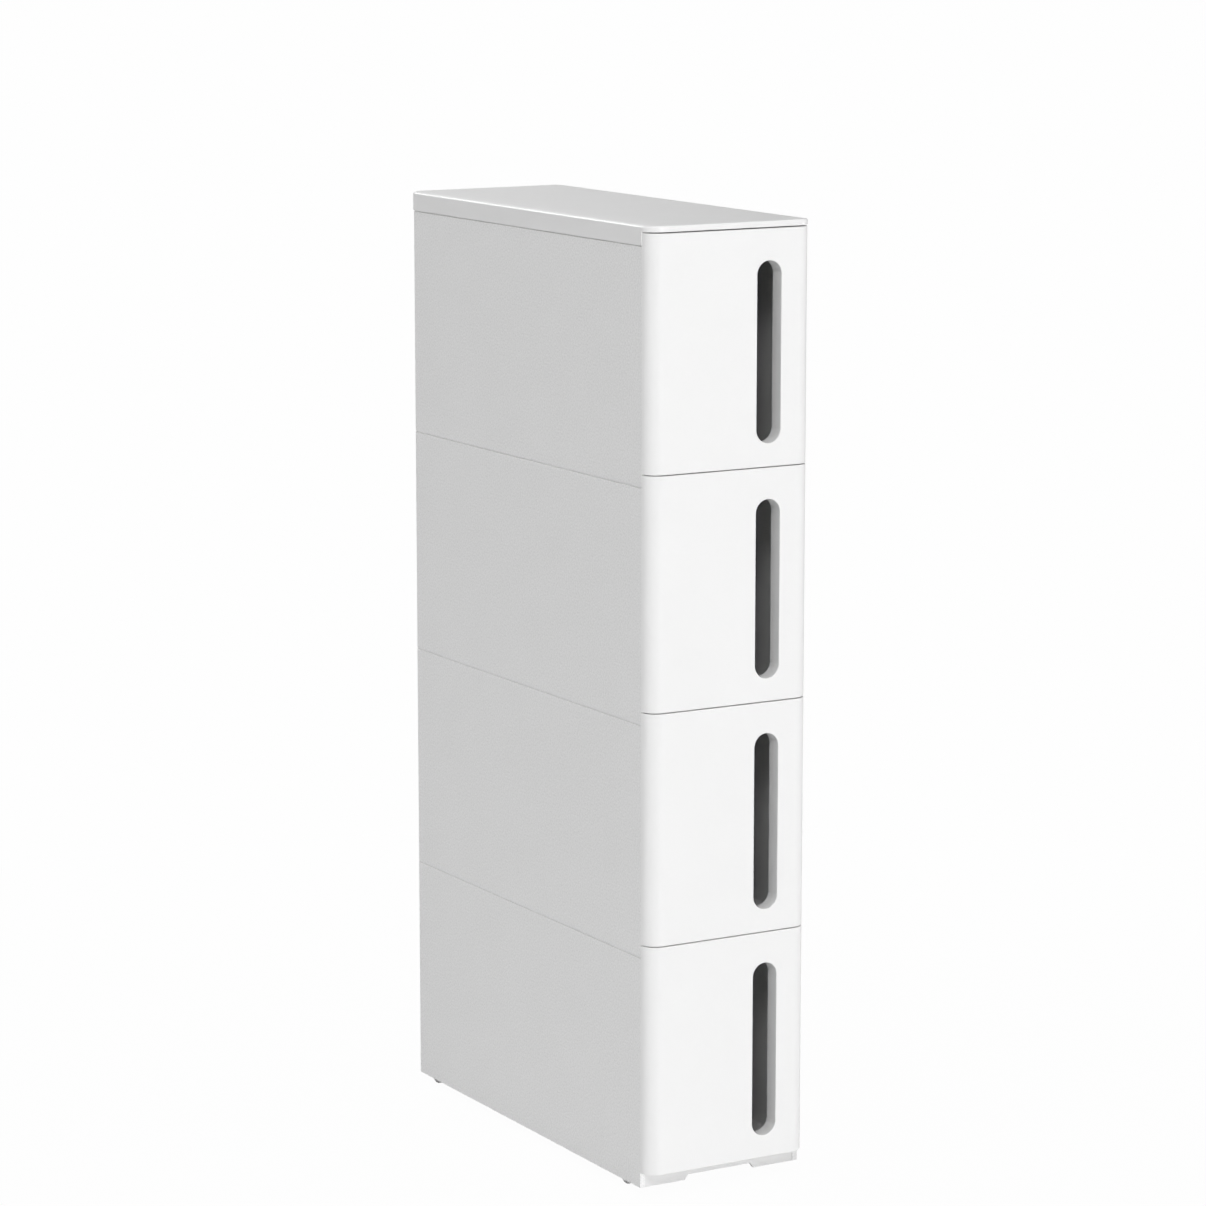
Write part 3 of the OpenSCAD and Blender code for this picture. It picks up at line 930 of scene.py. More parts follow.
@dataclass
class Casing:
    """One open-fronted casing, with its deck, glide ribs and stacking tongue.

    Attributes:
        walls: Sizes shared with its neighbours.
        tier: Its place in the stack, 1 for the lowest.
        seam_h: Height of the fine rebate round its upper edge.
        seam_d: Depth of that rebate.
        seam_r: Rounding of the edge below that rebate.
        foot_r: Rounding of its lower edge.
        deck_rise: Height of the deck's top over the bottom of a casing above the lowest.
        base_extra: Extra height of the lowest casing, below its deck.
        deck_t: Thickness of the deck.
        rib_t: Thickness of the cross ribs under the deck.
        rib_h: Height of those ribs.
        ribs: Number of those ribs.
        glide_w: Width of a glide rib.
        glide_h: Height of a glide rib.
        glide_out: Distance of each glide rib's outer side from the middle.
        glide_r: Rounding of the glide ribs.
        glide_stop: Distance from the back wall to the end of the glide ribs.
        soft_r: Rounding of the edges.
    """

    walls: Walls
    tier: int
    seam_h: float = 0.8 * MM
    seam_d: float = 0.8 * MM
    seam_r: float = 0.6 * MM
    foot_r: float = 0.3 * MM
    deck_rise: float = 14.0 * MM
    base_extra: float = 2.0 * MM
    deck_t: float = 2.5 * MM
    rib_t: float = 1.8 * MM
    rib_h: float = 6.0 * MM
    ribs: int = 3
    glide_w: float = 4.0 * MM
    glide_h: float = 1.6 * MM
    glide_out: float = 64.5 * MM
    glide_r: float = 0.6 * MM
    glide_stop: float = 14.0 * MM
    soft_r: float = 0.15 * MM

    @property
    def bottom(self) -> float:
        """Height of its lower edge."""
        return self.walls.seam(self.tier)

    @property
    def top(self) -> float:
        """Height of its upper edge."""
        return self.walls.seam(self.tier + 1)

    @property
    def deck_top(self) -> float:
        """Height of its deck."""
        return self.bottom + self.deck_rise + (self.base_extra if self.tier == 1 else 0.0)

    def shell(self) -> Solid:
        """The side and back walls with the front posts.

        Returns:
            The walls as one solid, with the rebate round their upper edge.
        """
        outer, room = self.walls.outer, self.walls.room
        neck = outer.inset(self.seam_d)
        made = Solid.upright(outer, self.bottom, self.top - self.seam_h)
        for height, radius in ((self.top - self.seam_h, self.seam_r), (self.bottom, self.foot_r)):
            made.round(lambda e: level_at(e, height) and middle(e).y > outer.front + TINY, radius)
        made.add(Solid.upright(neck, self.bottom + PAST, self.top))
        made.cut(Solid.upright(room, self.bottom - PAST, self.top + PAST))
        door = self.walls.doorway_half_w
        return made.cut(
            Solid.block(
                (-door, outer.front - PAST, self.bottom - PAST), (door, room.front + PAST, self.top + PAST)
            )
        )

    def deck(self) -> Solid:
        """The deck with its front beam and cross ribs.

        Returns:
            The deck as one solid, its edges inside the walls. The lowest casing's is plain.
        """
        walls, room, under = self.walls, self.walls.room, self.deck_top - self.deck_t
        half_w = room.half_w + ROOT
        plan = Plan(half_w, walls.beam_front, room.back + ROOT, 0.0, room.back_r + ROOT)
        made = Solid.upright(plan, under, self.deck_top)
        if self.tier > 1:
            beam_back = walls.beam_front + walls.beam_t
            made.add(
                Solid.block((-half_w, walls.beam_front, self.bottom), (half_w, beam_back, under + ROOT))
            )
            pitch = (room.back - walls.beam_front) / (self.ribs + 1)
            ribs = Solid()
            for i in range(1, self.ribs + 1):
                y = walls.beam_front + i * pitch - self.rib_t / 2
                ribs.add_block((-half_w, y, under - self.rib_h), (half_w, y + self.rib_t, under + ROOT))
            made.add(ribs)
        return made

    def glides(self) -> Solid:
        """The two rounded ribs that the drawer runs on.

        Returns:
            The ribs, their feet inside the deck.
        """
        made = Solid()
        front, back = self.walls.room.front, self.walls.room.back - self.glide_stop
        top = self.deck_top + self.glide_h
        for left in (-self.glide_out, self.glide_out - self.glide_w):
            made.add_block((left, front, self.deck_top - ROOT), (left + self.glide_w, back, top))
        return made.round(lambda e: level_at(e, top), self.glide_r)

    def solid(self) -> Solid:
        """The casing as one solid.

        Returns:
            The casing in its place.
        """
        made = self.shell().add(self.deck())
        if self.tier > 1:
            made.add(self.walls.tongue(self.bottom, self.deck_top - self.deck_t + ROOT))
        made.soften(self.soft_r)
        return made.add(self.glides())

    def build(self) -> None:
        """Builds and dresses the casing."""
        name = f"casing_{self.tier}"
        Piece(f"{name}_moulding", name, "tower", Slot.SHELL).present(self.solid())


@dataclass
class Drawer:
    """One drawer: an open-topped bin and the front that clips onto it.

    Attributes:
        walls: Sizes of the casing round it.
        tier: Its place in the stack, 1 for the lowest.
        front_d: Depth of the front.
        corner_r: Radius of the front's upright corners.
        edge_r: Rounding of the front's upper and lower edges.
        skin_t: Thickness of the front's skin.
        rib_t: Thickness of the cross ribs behind the skin.
        ribs: Number of those ribs.
        slot_w: Width of the finger slot.
        slot_h: Height of the finger slot.
        slot_x: Distance of the slot from the middle of the front.
        slot_rise: Distance of the slot's lower end from the front's lower edge.
        slot_wall_t: Wall of the slot's tunnel.
        slot_edge_r: Rounding of the slot's edge.
        bin_t: Wall of the bin.
        bin_r: Outer radius of the bin's upright corners.
        floor_t: Thickness of the bin's floor.
        floor_r: Fillet between the floor and the walls.
        rim_w: Inward width of the rim bead.
        rim_h: Height of the rim bead.
        lug_w: How far a stop lug stands out of the bin's side.
        lug_l: Length of a lug.
        lug_h: Height of a lug.
        lug_stay: Length of bin behind the lugs.
        hook_w: Width of a snap hook.
        hook_t: Thickness of a snap hook.
        hook_barb: Height of a hook's barb.
        hook_l: Length of a barb.
        hook_fit: Clearance of a hook in its window.
        hook_inset: Distance of the hooks from the bin's sides.
        hook_margin: Distance of the hooks from the bin's floor and rim.
        soft_r: Rounding of the other edges.
        face_low: Lowest corner of the front's CAD node.
        face_high: Highest corner of that node.
        bin_low: Lowest corner of the bin's CAD node.
        bin_high: Highest corner of that node.
        bin_half_w: Half of the bin's width, without its lugs.
        foot: Centre of the slot's lower round end.
    """

    walls: Walls
    tier: int
    front_d: float = 14.0 * MM
    corner_r: float = 14.0 * MM
    edge_r: float = 0.9 * MM
    skin_t: float = 2.4 * MM
    rib_t: float = 1.6 * MM
    ribs: int = 3
    slot_w: float = 24.0 * MM
    slot_h: float = 154.6 * MM
    slot_x: float = 36.5 * MM
    slot_rise: float = 20.0 * MM
    slot_wall_t: float = 2.0 * MM
    slot_edge_r: float = 0.6 * MM
    bin_t: float = 2.0 * MM
    bin_r: float = 8.0 * MM
    floor_t: float = 2.2 * MM
    floor_r: float = 2.5 * MM
    rim_w: float = 1.4 * MM
    rim_h: float = 5.0 * MM
    lug_w: float = 2.4 * MM
    lug_l: float = 6.0 * MM
    lug_h: float = 30.0 * MM
    lug_stay: float = 85.0 * MM
    hook_w: float = 8.0 * MM
    hook_t: float = 2.2 * MM
    hook_barb: float = 1.4 * MM
    hook_l: float = 2.0 * MM
    hook_fit: float = 0.3 * MM
    hook_inset: float = 9.0 * MM
    hook_margin: float = 18.0 * MM
    soft_r: float = 0.15 * MM
    face_low: Vector = field(init=False)
    face_high: Vector = field(init=False)
    bin_low: Vector = field(init=False)
    bin_high: Vector = field(init=False)
    bin_half_w: float = field(init=False)
    foot: Vector = field(init=False)

    # Flats across the front's rounded edges, the slot's edge and the floor's fillet
    EDGE_STEPS = 5

    def __post_init__(self) -> None:
        """Reads the drawer's place from the frame."""
        self.face_low, self.face_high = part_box(f"drawer_front_{self.tier}")
        self.bin_low, self.bin_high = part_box(f"drawer_box_{self.tier}")
        self.bin_half_w = self.bin_high.x - self.lug_w
        self.foot = Vector((self.slot_x, 0.0, self.face_low.z + self.slot_rise + self.slot_w / 2))

    @property
    def join_y(self) -> float:
        """Where the front's back meets the bin."""
        return self.face_low.y + self.front_d

    @property
    def hook_places(self) -> list[tuple[float, float]]:
        """Where the hooks are.

        Returns:
            For each hook, the X of its middle and the Z of its lower side.
        """
        out = self.bin_half_w - self.hook_inset - self.hook_w / 2
        rows = self.bin_low.z + self.hook_margin, self.bin_high.z - self.hook_margin
        return [(x, z) for x in (-out, out) for z in rows]

    def through_slot(self, front: float, back: float, wall: float) -> Solid:
        """A stadium round the slot, from front to back.

        Args:
            front: Y where it starts.
            back: Y where it ends.
            wall: How much larger it is than the slot, all round.

        Returns:
            The stadium as a closed solid.
        """
        radius = self.slot_w / 2 + wall
        section = [(front, 0.0), (front, radius), (back, radius), (back, 0.0)]
        return Solid.stadium(section, self.foot, self.slot_h - self.slot_w)

    def slot_cutter(self) -> Solid:
        """What is cut out for the slot.

        Returns:
            The cutter, flared at the front for the slot's rounded edge.
        """
        radius, edge, front = self.slot_w / 2, self.slot_edge_r, self.face_low.y
        section = [(front - PAST, 0.0), (front - PAST, radius + edge)]
        section += [(front + y, radius + r) for y, r in quarter_round(edge, self.EDGE_STEPS)]
        section += [(self.join_y + PAST, radius), (self.join_y + PAST, 0.0)]
        return Solid.stadium(section, self.foot, self.slot_h - self.slot_w)

    def skin(self) -> Solid:
        """The hollow skin of the front.

        Returns:
            The skin as one solid, open at the back.
        """
        low, high = self.face_low, self.face_high
        back = self.join_y
        outer = Plan(high.x, low.y, back + PAST, self.corner_r)
        made = Solid.upright(outer, low.z, high.z)
        for height in (low.z, high.z):
            made.round(lambda e: level_at(e, height) and middle(e).y < back, self.edge_r, self.EDGE_STEPS)
        made.keep(
            Solid.block((low.x - PAST, low.y - PAST, low.z - PAST), (high.x + PAST, back, high.z + PAST))
        )
        inner = Plan(
            high.x - self.skin_t, low.y + self.skin_t, back + 2 * PAST, self.corner_r - self.skin_t
        )
        return made.cut(Solid.upright(inner, low.z + self.skin_t, high.z - self.skin_t))

    def face(self) -> Solid:
        """The front as one solid.

        Returns:
            The front with its slot, ribs and hooks, in its place.
        """
        low, high = self.face_low, self.face_high
        behind_skin = low.y + self.skin_t - ROOT
        made = self.skin()
        ribs = Solid()
        for i in range(1, self.ribs + 1):
            z = low.z + i * (high.z - low.z) / (self.ribs + 1)
            left, right = low.x + self.corner_r, self.slot_x - self.slot_w / 2 - self.slot_wall_t / 2
            ribs.add_block((left, behind_skin, z), (right, self.join_y, z + self.rib_t))
        made.add(ribs)
        made.add(self.through_slot(behind_skin, self.join_y, self.slot_wall_t))
        catch = self.join_y + self.bin_t + self.hook_fit
        for x, z in self.hook_places:
            left, right = x - self.hook_w / 2, x + self.hook_w / 2
            hook = Solid.block((left, behind_skin, z), (right, catch + self.hook_l, z + self.hook_t))
            barb_top = z + self.hook_t + self.hook_barb
            hook.add(Solid.block((left, catch, z + ROOT), (right, catch + self.hook_l, barb_top)))
            made.add(hook)
        made.soften(self.soft_r)
        return made.cut(self.slot_cutter())

    def lugs(self) -> Solid:
        """The two stop lugs on the bin's sides.

        Returns:
            The lugs, square in front and ramped behind.
        """
        made = Solid()
        middle_z = (self.bin_low.z + self.bin_high.z) / 2
        start = self.bin_high.y - self.lug_stay
        for side in (-1, 1):
            left, right = sorted((side * (self.bin_half_w - ROOT), side * (self.bin_half_w + self.lug_w)))
            made.add_block(
                (left, start, middle_z - self.lug_h / 2),
                (right, start + self.lug_l, middle_z + self.lug_h / 2),
            )
        ramp = [
            vert
            for vert in made.bm.verts
            if abs(vert.co.x) > self.bin_half_w + TINY and vert.co.y > start + self.lug_l / 2
        ]
        bmesh.ops.translate(made.bm, verts=ramp, vec=(0.0, -self.lug_l / 2, 0.0))
        return made

    def windows(self) -> Solid:
        """What is cut out of the bin's front wall for the hooks.

        Returns:
            The cutters of all four windows.
        """
        made = Solid()
        reach = self.hook_w / 2 + self.hook_fit
        for x, z in self.hook_places:
            made.add_block(
                (x - reach, self.join_y - PAST, z - self.hook_barb - self.hook_fit),
                (x + reach, self.join_y + self.bin_t + PAST, z + self.hook_t + self.hook_fit),
            )
        return made

    def bin(self) -> Solid:
        """The bin as one solid.

        Returns:
            The bin with its rim bead, slot, windows and stop lugs, in its place.
        """
        low, high = self.bin_low, self.bin_high
        outer = Plan(self.bin_half_w, self.join_y, high.y, self.bin_r, self.bin_r)
        inner = outer.inset(self.bin_t)
        under_rim = high.z - self.rim_h
        made = Solid.upright(outer, low.z, high.z)
        made.round(lambda e: level_at(e, low.z), self.bin_t / 2)
        room = Solid.upright(inner, low.z + self.floor_t, under_rim)
        room.round(lambda e: level_at(e, low.z + self.floor_t), self.floor_r, self.EDGE_STEPS)
        room.round(lambda e: level_at(e, under_rim), self.rim_w)
        room.add(Solid.upright(inner.inset(self.rim_w), under_rim - self.rim_w, high.z + PAST))
        made.cut(room)
        made.add(self.lugs())
        through = self.join_y + self.bin_t + self.rim_w + PAST
        made.cut(self.through_slot(self.join_y - PAST, through, self.slot_wall_t))
        made.cut(self.windows())
        return made.soften(self.soft_r)

    def build(self) -> None:
        """Builds and dresses the drawer's two pieces."""
        body = f"drawer_{self.tier}"
        Piece(f"{body}_bin", f"drawer_box_{self.tier}", body, Slot.BIN).present(self.bin())
        Piece(f"{body}_face", f"drawer_front_{self.tier}", body, Slot.FRONT).present(self.face())


@dataclass
class Caster:
    """One small roller in its bracket, which plugs into the plinth.

    Attributes:
        corner: Which of the four it is.
        top_t: Thickness of the bracket's top.
        cheek_t: Thickness of the bracket's cheeks.
        cheek_drop: How far the cheeks' round ends reach below the axle.
        cheek_rise: Height of the cheeks' straight edge over the plinth's lower edge.
        axle_r: Radius of the axle.
        axle_bevel: Bevel of the axle's ends.
        seat_gap: Clearance of the axle in its bracket.
        run_gap: Clearance of the roller on its axle.
        tread_r: Rounding of the tread's edges.
        tread_t: Thickness of the tread's rim beside the recess.
        hub_t: Wall of the hub round the axle.
        recess: Depth of the recess in each side of the roller.
        soft_r: Rounding of the other edges.
        wheel_low: Lowest corner of the roller's CAD node.
        wheel_high: Highest corner of that node.
        low: Lowest corner of the bracket's CAD node.
        high: Highest corner of that node.
        centre: Centre of the roller.
    """

    corner: Corner
    top_t: float = 1.2 * MM
    cheek_t: float = 2.0 * MM
    cheek_drop: float = 3.7 * MM
    cheek_rise: float = 2.0 * MM
    axle_r: float = 1.5 * MM
    axle_bevel: float = 0.3 * MM
    seat_gap: float = 0.03 * MM
    run_gap: float = 0.05 * MM
    tread_r: float = 1.2 * MM
    tread_t: float = 2.4 * MM
    hub_t: float = 2.5 * MM
    recess: float = 1.0 * MM
    soft_r: float = 0.2 * MM
    wheel_low: Vector = field(init=False)
    wheel_high: Vector = field(init=False)
    low: Vector = field(init=False)
    high: Vector = field(init=False)
    centre: Vector = field(init=False)

    AXIS = Vector((1.0, 0.0, 0.0))
    # Flats round the roller, across its tread's edges and across a cheek's round corner
    STEPS = 64
    EDGE_STEPS = 5
    CHEEK_STEPS = 12
    # Radius of that corner as a share of the cheek's half width, which leaves a short flat below
    CHEEK_ROUND = 0.98

    def __post_init__(self) -> None:
        """Reads the caster's place from the frame."""
        self.wheel_low, self.wheel_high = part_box(f"caster_wheel_{self.corner.value}")
        self.low, self.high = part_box(f"caster_housing_{self.corner.value}")
        self.centre = (self.wheel_low + self.wheel_high) / 2

    def roller(self) -> Solid:
        """The roller: a tread with rounded edges, recessed sides and a hub.

        Returns:
            The roller in its place.
        """
        radius = (self.wheel_high.z - self.wheel_low.z) / 2
        half_w = (self.wheel_high.x - self.wheel_low.x) / 2
        bore = self.axle_r + self.run_gap
        hub, rim = self.axle_r + self.hub_t, radius - self.tread_t
        floor = half_w - self.recess
        side = [(half_w, bore), (half_w, hub), (floor, hub), (floor, rim), (half_w, rim)]
        side += [(half_w - x, radius - r) for x, r in quarter_round(self.tread_r, self.EDGE_STEPS)]
        section = side + [(-along, r) for along, r in reversed(side)]
        made = Solid.turned(section, self.centre, self.AXIS, self.STEPS)
        return made.soften(self.soft_r)

    def axle(self) -> Solid:
        """The axle: a pin with bevelled ends.

        Returns:
            The pin in its place.
        """
        half_l = (self.high.x - self.low.x) / 2
        tip = self.axle_r - self.axle_bevel
        section = [
            (-half_l, 0.0),
            (-half_l, tip),
            (self.axle_bevel - half_l, self.axle_r),
            (half_l - self.axle_bevel, self.axle_r),
            (half_l, tip),
            (half_l, 0.0),
        ]
        return Solid.turned(section, self.centre, self.AXIS, self.STEPS // 2)

    def bracket(self) -> Solid:
        """The bracket: a top and two cheeks that are round below the axle.

        Returns:
            The bracket in its place, with the seats of its axle.
        """
        low, high, centre = self.low, self.high, self.centre
        straight = centre.z - self.cheek_drop
        made = Solid.block((low.x, low.y, high.z - self.top_t), tuple(high))
        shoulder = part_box("base_plinth")[0].z + self.cheek_rise
        for outer, inner in ((low.x, low.x + self.cheek_t), (high.x - self.cheek_t, high.x)):
            cheek = Solid.block((outer, low.y, shoulder), (inner, high.y, high.z - ROOT))
            boss = Solid.block(
                (outer, centre.y - self.cheek_drop, straight),
                (inner, centre.y + self.cheek_drop, shoulder + ROOT),
            )
            boss.round(
                lambda e: runs_along(e, 0) and middle(e).z < centre.z,
                self.cheek_drop * self.CHEEK_ROUND,
                self.CHEEK_STEPS,
            )
            made.add(cheek.add(boss))
        reach = (high.x - low.x) / 2 + PAST
        seat = self.axle_r + self.seat_gap
        made.soften(self.soft_r)
        section = [(-reach, 0.0), (-reach, seat), (reach, seat), (reach, 0.0)]
        return made.cut(Solid.turned(section, centre, self.AXIS, self.STEPS // 2))

    def build(self) -> None:
        """Builds and dresses the caster's three pieces."""
        place = self.corner.value
        Piece(f"{place}_bracket", f"caster_housing_{place}", "tower", Slot.HOUSING).present(self.bracket())
        Piece(f"{place}_axle_pin", f"caster_axle_{place}", "tower", Slot.AXLE).present(self.axle())
        wheel = f"caster_wheel_{place}"
        Piece(f"{place}_roller", wheel, f"wheel_{place}", Slot.ROLLER).present(self.roller())


@dataclass
class Plinth:
    """The plinth: a ring of beams with a notch in front, cross ribs and a pocket for each caster.

    Attributes:
        walls: Sizes of the casing that it plugs into.
        beam_t: Thickness of its beams.
        fit: Its clearance in the casing.
        notch_w: Width of the notch at its open side.
        notch_h: Height of the notch.
        notch_slant: Width of each slanted end of the notch.
        rib_t: Thickness of the cross ribs.
        rib_h: Height of the cross ribs.
        ribs: Number of the cross ribs.
        pocket_fit: Clearance of a caster in its pocket.
        pocket_t: Wall of the pockets.
        soft_r: Rounding of the edges.
        low: Lowest corner of the plinth's CAD node.
        high: Highest corner of that node.
        casters: Lowest and highest corner of each bracket's CAD node.
    """

    walls: Walls
    beam_t: float = 2.5 * MM
    fit: float = 0.06 * MM
    notch_w: float = 70.0 * MM
    notch_h: float = 4.5 * MM
    notch_slant: float = 3.5 * MM
    rib_t: float = 1.8 * MM
    rib_h: float = 6.0 * MM
    ribs: int = 3
    pocket_fit: float = 0.2 * MM
    pocket_t: float = 1.6 * MM
    soft_r: float = 0.2 * MM
    low: Vector = field(init=False)
    high: Vector = field(init=False)
    casters: list[tuple[Vector, Vector]] = field(init=False)

    def __post_init__(self) -> None:
        """Reads the plinth's place from the frame."""
        self.low, self.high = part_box("base_plinth")
        self.casters = [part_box(f"caster_housing_{corner.value}") for corner in Corner]

    def body(self, inset: float, bottom: float, top: float) -> Solid:
        """The plinth's full outline, stepped in between the casing's front posts.

        Args:
            inset: How far the outline is drawn in.
            bottom: Height of its lower face.
            top: Height of its upper face.

        Returns:
            The filled outline as a solid.
        """
        by, room = self.fit + inset, self.walls.room
        main = Plan(room.half_w - by, room.front + by, room.back - by, 0.0, room.back_r - by)
        step = self.walls.doorway_half_w - by
        made = Solid.upright(main, bottom, top)
        return made.add(
            Solid.block((-step, self.walls.beam_front + inset, bottom), (step, main.front + PAST, top))
        )

    def pockets(self) -> Solid:
        """The blocks that the casters' pockets are cut from.

        Returns:
            The blocks, out to the middle of the plinth's beams.
        """
        wall = self.pocket_fit + self.pocket_t
        made = Solid()
        for low, high in self.casters:
            left = low.x - wall if low.x > 0 else -self.walls.outer.half_w
            right = high.x + wall if low.x < 0 else self.walls.outer.half_w
            made.add_block((left, low.y - wall, self.low.z), (right, high.y + wall, self.high.z))
        return made.keep(self.body(self.beam_t / 2, self.low.z, self.high.z))

    def cross_ribs(self) -> Solid:
        """The cross ribs between the front and back pockets.

        Returns:
            The ribs, their ends inside the plinth's beams.
        """
        middles = [(low.y + high.y) / 2 for low, high in self.casters]
        first, last = min(middles), max(middles)
        half_w = self.walls.room.half_w - self.fit - self.beam_t / 2
        made = Solid()
        for i in range(1, self.ribs + 1):
            y = first + i * (last - first) / (self.ribs + 1) - self.rib_t / 2
            made.add_block((-half_w, y, self.high.z - self.rib_h), (half_w, y + self.rib_t, self.high.z))
        return made

    def notch(self) -> Solid:
        """What is cut out of the front beam.

        Returns:
            The cutter, its slanted ends running on below the beam.
        """
        front, steepness = self.walls.beam_front, self.notch_slant / self.notch_h
        half_w = self.notch_w / 2 + PAST * steepness
        low = (-half_w, front - PAST, self.low.z - PAST)
        made = Solid.block(low, (half_w, front + self.beam_t + PAST, self.low.z + self.notch_h))
        for side in (-1, 1):
            end = [vert for vert in made.bm.verts if vert.co.x * side > 0 and vert.co.z > self.low.z]
            lean = side * (self.notch_h + PAST) * steepness
            bmesh.ops.translate(made.bm, verts=end, vec=(-lean, 0.0, 0.0))
        return made

    def solid(self) -> Solid:
        """The plinth as one solid.

        Returns:
            The plinth in its place.
        """
        bottom, top = self.low.z, self.high.z
        made = self.body(0.0, bottom, top).cut(self.body(self.beam_t, bottom - PAST, top + PAST))
        made.add(self.pockets())
        made.add(self.cross_ribs())
        rooms = Solid()
        fit = self.pocket_fit
        for low, high in self.casters:
            rooms.add_block(
                (low.x - fit, low.y - fit, bottom - PAST), (high.x + fit, high.y + fit, top + PAST)
            )
        made.cut(rooms)
        made.cut(self.notch())
        return made.soften(self.soft_r)

    def build(self) -> None:
        """Builds and dresses the plinth."""
        Piece("plinth_moulding", "base_plinth", "tower", Slot.PLINTH).present(self.solid())


# ---- The studio ----


@dataclass(frozen=True)
class Softbox:
    """A soft rectangular lamp that the camera doesn't see.

    Attributes:
        name: Its name.
        place: Its middle.
        target: What it faces.
        size: Its width and height.
        power: Its power in watts.
    """

    name: str
    place: tuple[float, float, float]
    target: tuple[float, float, float]
    size: tuple[float, float]
    power: float

    def build(self) -> None:
        """Hangs the lamp."""
        lamp = bpy.data.lights.new(self.name, "AREA")
        lamp.shape = "RECTANGLE"
        lamp.size, lamp.size_y = self.size
        lamp.energy = self.power
        made = bpy.data.objects.new(self.name, lamp)
        made.location = self.place
        made.rotation_euler = (Vector(self.target) - Vector(self.place)).to_track_quat("-Z", "Y").to_euler()
        made.visible_camera = False
        bpy.context.scene.collection.objects.link(made)


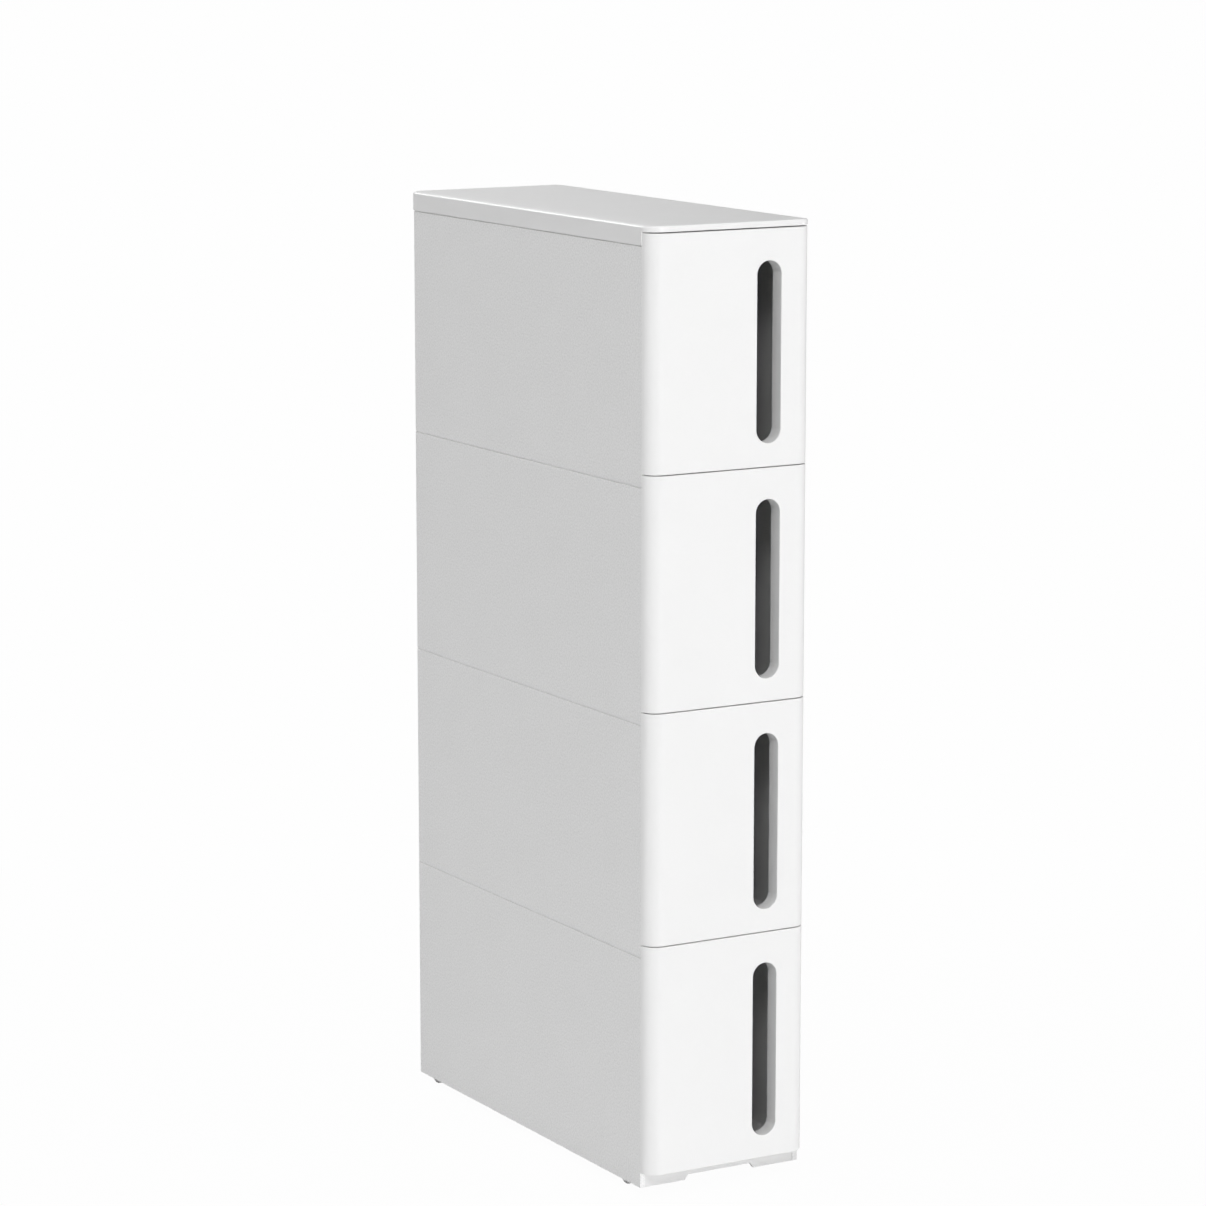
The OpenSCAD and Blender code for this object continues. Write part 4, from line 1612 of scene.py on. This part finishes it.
@dataclass
class Studio:
    """A white room without corners, soft lamps and the photograph's camera.

    Attributes:
        eye: Where the camera stands.
        azimuth: Direction that it looks in, in degrees from +Y towards +X.
        dip: How far it looks down, in degrees.
        lens: Its focal length, in millimetres.
        backdrop: Brightness of the room behind the tower.
        glow: Brightness of the light from all round.
        floor_size: Side of the floor.
        floor_tone: Colour of the floor.
        shadow_share: Share of the floor's own shading that is seen at the tower's foot.
        shadow_reach: Distance from the tower at which that share has faded out.
        lamps: The soft lamps.
    """

    eye: tuple[float, float, float] = (-1.8460, -3.1901, 1.1384)
    azimuth: float = 30.050
    dip: float = 10.100
    lens: float = 125.42
    backdrop: float = 0.991
    glow: float = 0.12
    floor_size: float = 60.0
    floor_tone: Rgb = (0.9, 0.9, 0.9)
    shadow_share: float = 0.015
    shadow_reach: float = 1.2
    lamps: Sequence[Softbox] = field(
        default_factory=lambda: (
            Softbox("front softbox", (1.4, -8.4, 0.6), (0.0, 0.0, 0.42), (3.6, 1.2), 252.0),
            Softbox("high left softbox", (-4.2, -5.7, 6.7), (0.0, 0.0, 0.42), (3.0, 3.0), 248.0),
            Softbox("right softbox", (6.8, -3.2, 0.9), (0.0, 0.0, 0.42), (2.4, 1.8), 85.0),
            Softbox("side softbox", (-3.6, -0.4, 3.9), (0.0, 0.0, 0.6), (2.0, 2.0), 43.0),
            Softbox("overhead softbox", (0.0, -0.6, 4.8), (0.0, 0.0, 0.8), (3.0, 3.0), 62.0),
            Softbox("rim softbox", (-0.8, 4.9, 3.8), (0.0, 0.0, 0.8), (1.6, 1.2), 74.0),
            Softbox("back softbox", (1.5, 5.8, 3.0), (0.0, 0.0, 0.8), (3.0, 1.0), 8.0),
            Softbox("back right softbox", (2.6, 5.4, 3.2), (0.0, 0.0, 0.8), (1.6, 1.0), 9.5),
        )
    )

    def camera(self) -> None:
        """Sets up the photograph's camera."""
        turn, dip = math.radians(self.azimuth), math.radians(self.dip)
        ahead = Vector((math.sin(turn) * math.cos(dip), math.cos(turn) * math.cos(dip), -math.sin(dip)))
        made = bpy.data.objects.new("camera", bpy.data.cameras.new("camera"))
        made.data.lens = self.lens
        made.data.clip_end = 2 * self.floor_size
        made.location = self.eye
        made.rotation_euler = ahead.to_track_quat("-Z", "Y").to_euler()
        bpy.context.scene.collection.objects.link(made)
        bpy.context.scene.camera = made

    def room(self) -> None:
        """Lights the room from all round, and paints it white behind the tower."""
        world = bpy.data.worlds.new("white room")
        world.use_nodes = True
        wiring = Wiring(world.node_tree)
        seen, lit = wiring.add("Background"), wiring.add("Background")
        seen.inputs["Strength"].default_value = self.backdrop
        lit.inputs["Strength"].default_value = self.glow
        for background in (seen, lit):
            background.inputs["Color"].default_value = (1.0, 1.0, 1.0, 1.0)
        choice = wiring.add("MixShader")
        wiring.link(wiring.add("LightPath").outputs["Is Camera Ray"], choice.inputs["Fac"])
        wiring.link(lit.outputs["Background"], choice.inputs[1])
        wiring.link(seen.outputs["Background"], choice.inputs[2])
        wiring.link(choice.outputs["Shader"], wiring.add("OutputWorld").inputs["Surface"])
        bpy.context.scene.world = world

    def floor_material(self) -> bpy.types.Material:
        """The floor's paint.

        Returns:
            The material: white to the camera, with a trace of its own shading near the tower.
        """
        material = bpy.data.materials.new("studio floor")
        material.use_nodes = True
        wiring = Wiring(material.node_tree)
        paint = wiring.add("BsdfDiffuse")
        paint.inputs["Color"].default_value = (*self.floor_tone, 1.0)
        shine = wiring.add("Emission")
        shine.inputs["Strength"].default_value = self.backdrop
        mixed = wiring.add("MixShader")
        away = wiring.add("VectorMath", operation="LENGTH")
        wiring.link(wiring.add("TexCoord").outputs["Object"], away.inputs[0])
        fade = wiring.add("MapRange", interpolation_type="SMOOTHSTEP")
        fade.inputs["From Max"].default_value = self.shadow_reach
        fade.inputs["To Min"].default_value = 1.0 - self.shadow_share
        fade.inputs["To Max"].default_value = 1.0
        wiring.link(away.outputs["Value"], fade.inputs["Value"])
        seen = wiring.add("LightPath").outputs["Is Camera Ray"]
        wiring.link(wiring.math("MULTIPLY", seen, fade.outputs["Result"]), mixed.inputs["Fac"])
        wiring.link(paint.outputs["BSDF"], mixed.inputs[1])
        wiring.link(shine.outputs["Emission"], mixed.inputs[2])
        wiring.link(mixed.outputs["Shader"], wiring.add("OutputMaterial").inputs["Surface"])
        return material

    def floor(self) -> None:
        """Lays the floor."""
        mesh = bpy.data.meshes.new("studio_floor")
        bm = bmesh.new()
        bmesh.ops.create_grid(bm, x_segments=1, y_segments=1, size=self.floor_size / 2)
        bm.to_mesh(mesh)
        bm.free()
        mesh.materials.append(self.floor_material())
        made = bpy.data.objects.new("studio_floor", mesh)
        bpy.context.scene.collection.objects.link(made)

    def build(self) -> None:
        """Builds the studio."""
        self.camera()
        self.room()
        self.floor()
        for lamp in self.lamps:
            lamp.build()
        settings = bpy.context.scene.view_settings
        settings.view_transform = "Standard"
        LOG.info("studio: %d lamps", len(self.lamps))


def main() -> None:
    """Builds the studio and every piece of the tower, from the top down."""
    logging.basicConfig(level=logging.INFO, format="%(message)s")
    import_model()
    walls = Walls()
    Studio().build()
    Lid(walls).build()
    for tier in range(TIERS, 0, -1):
        Casing(walls, tier).build()
        Drawer(walls, tier).build()
    Plinth(walls).build()
    for corner in Corner:
        Caster(corner).build()
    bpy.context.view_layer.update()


if __name__ == "__main__":
    main()
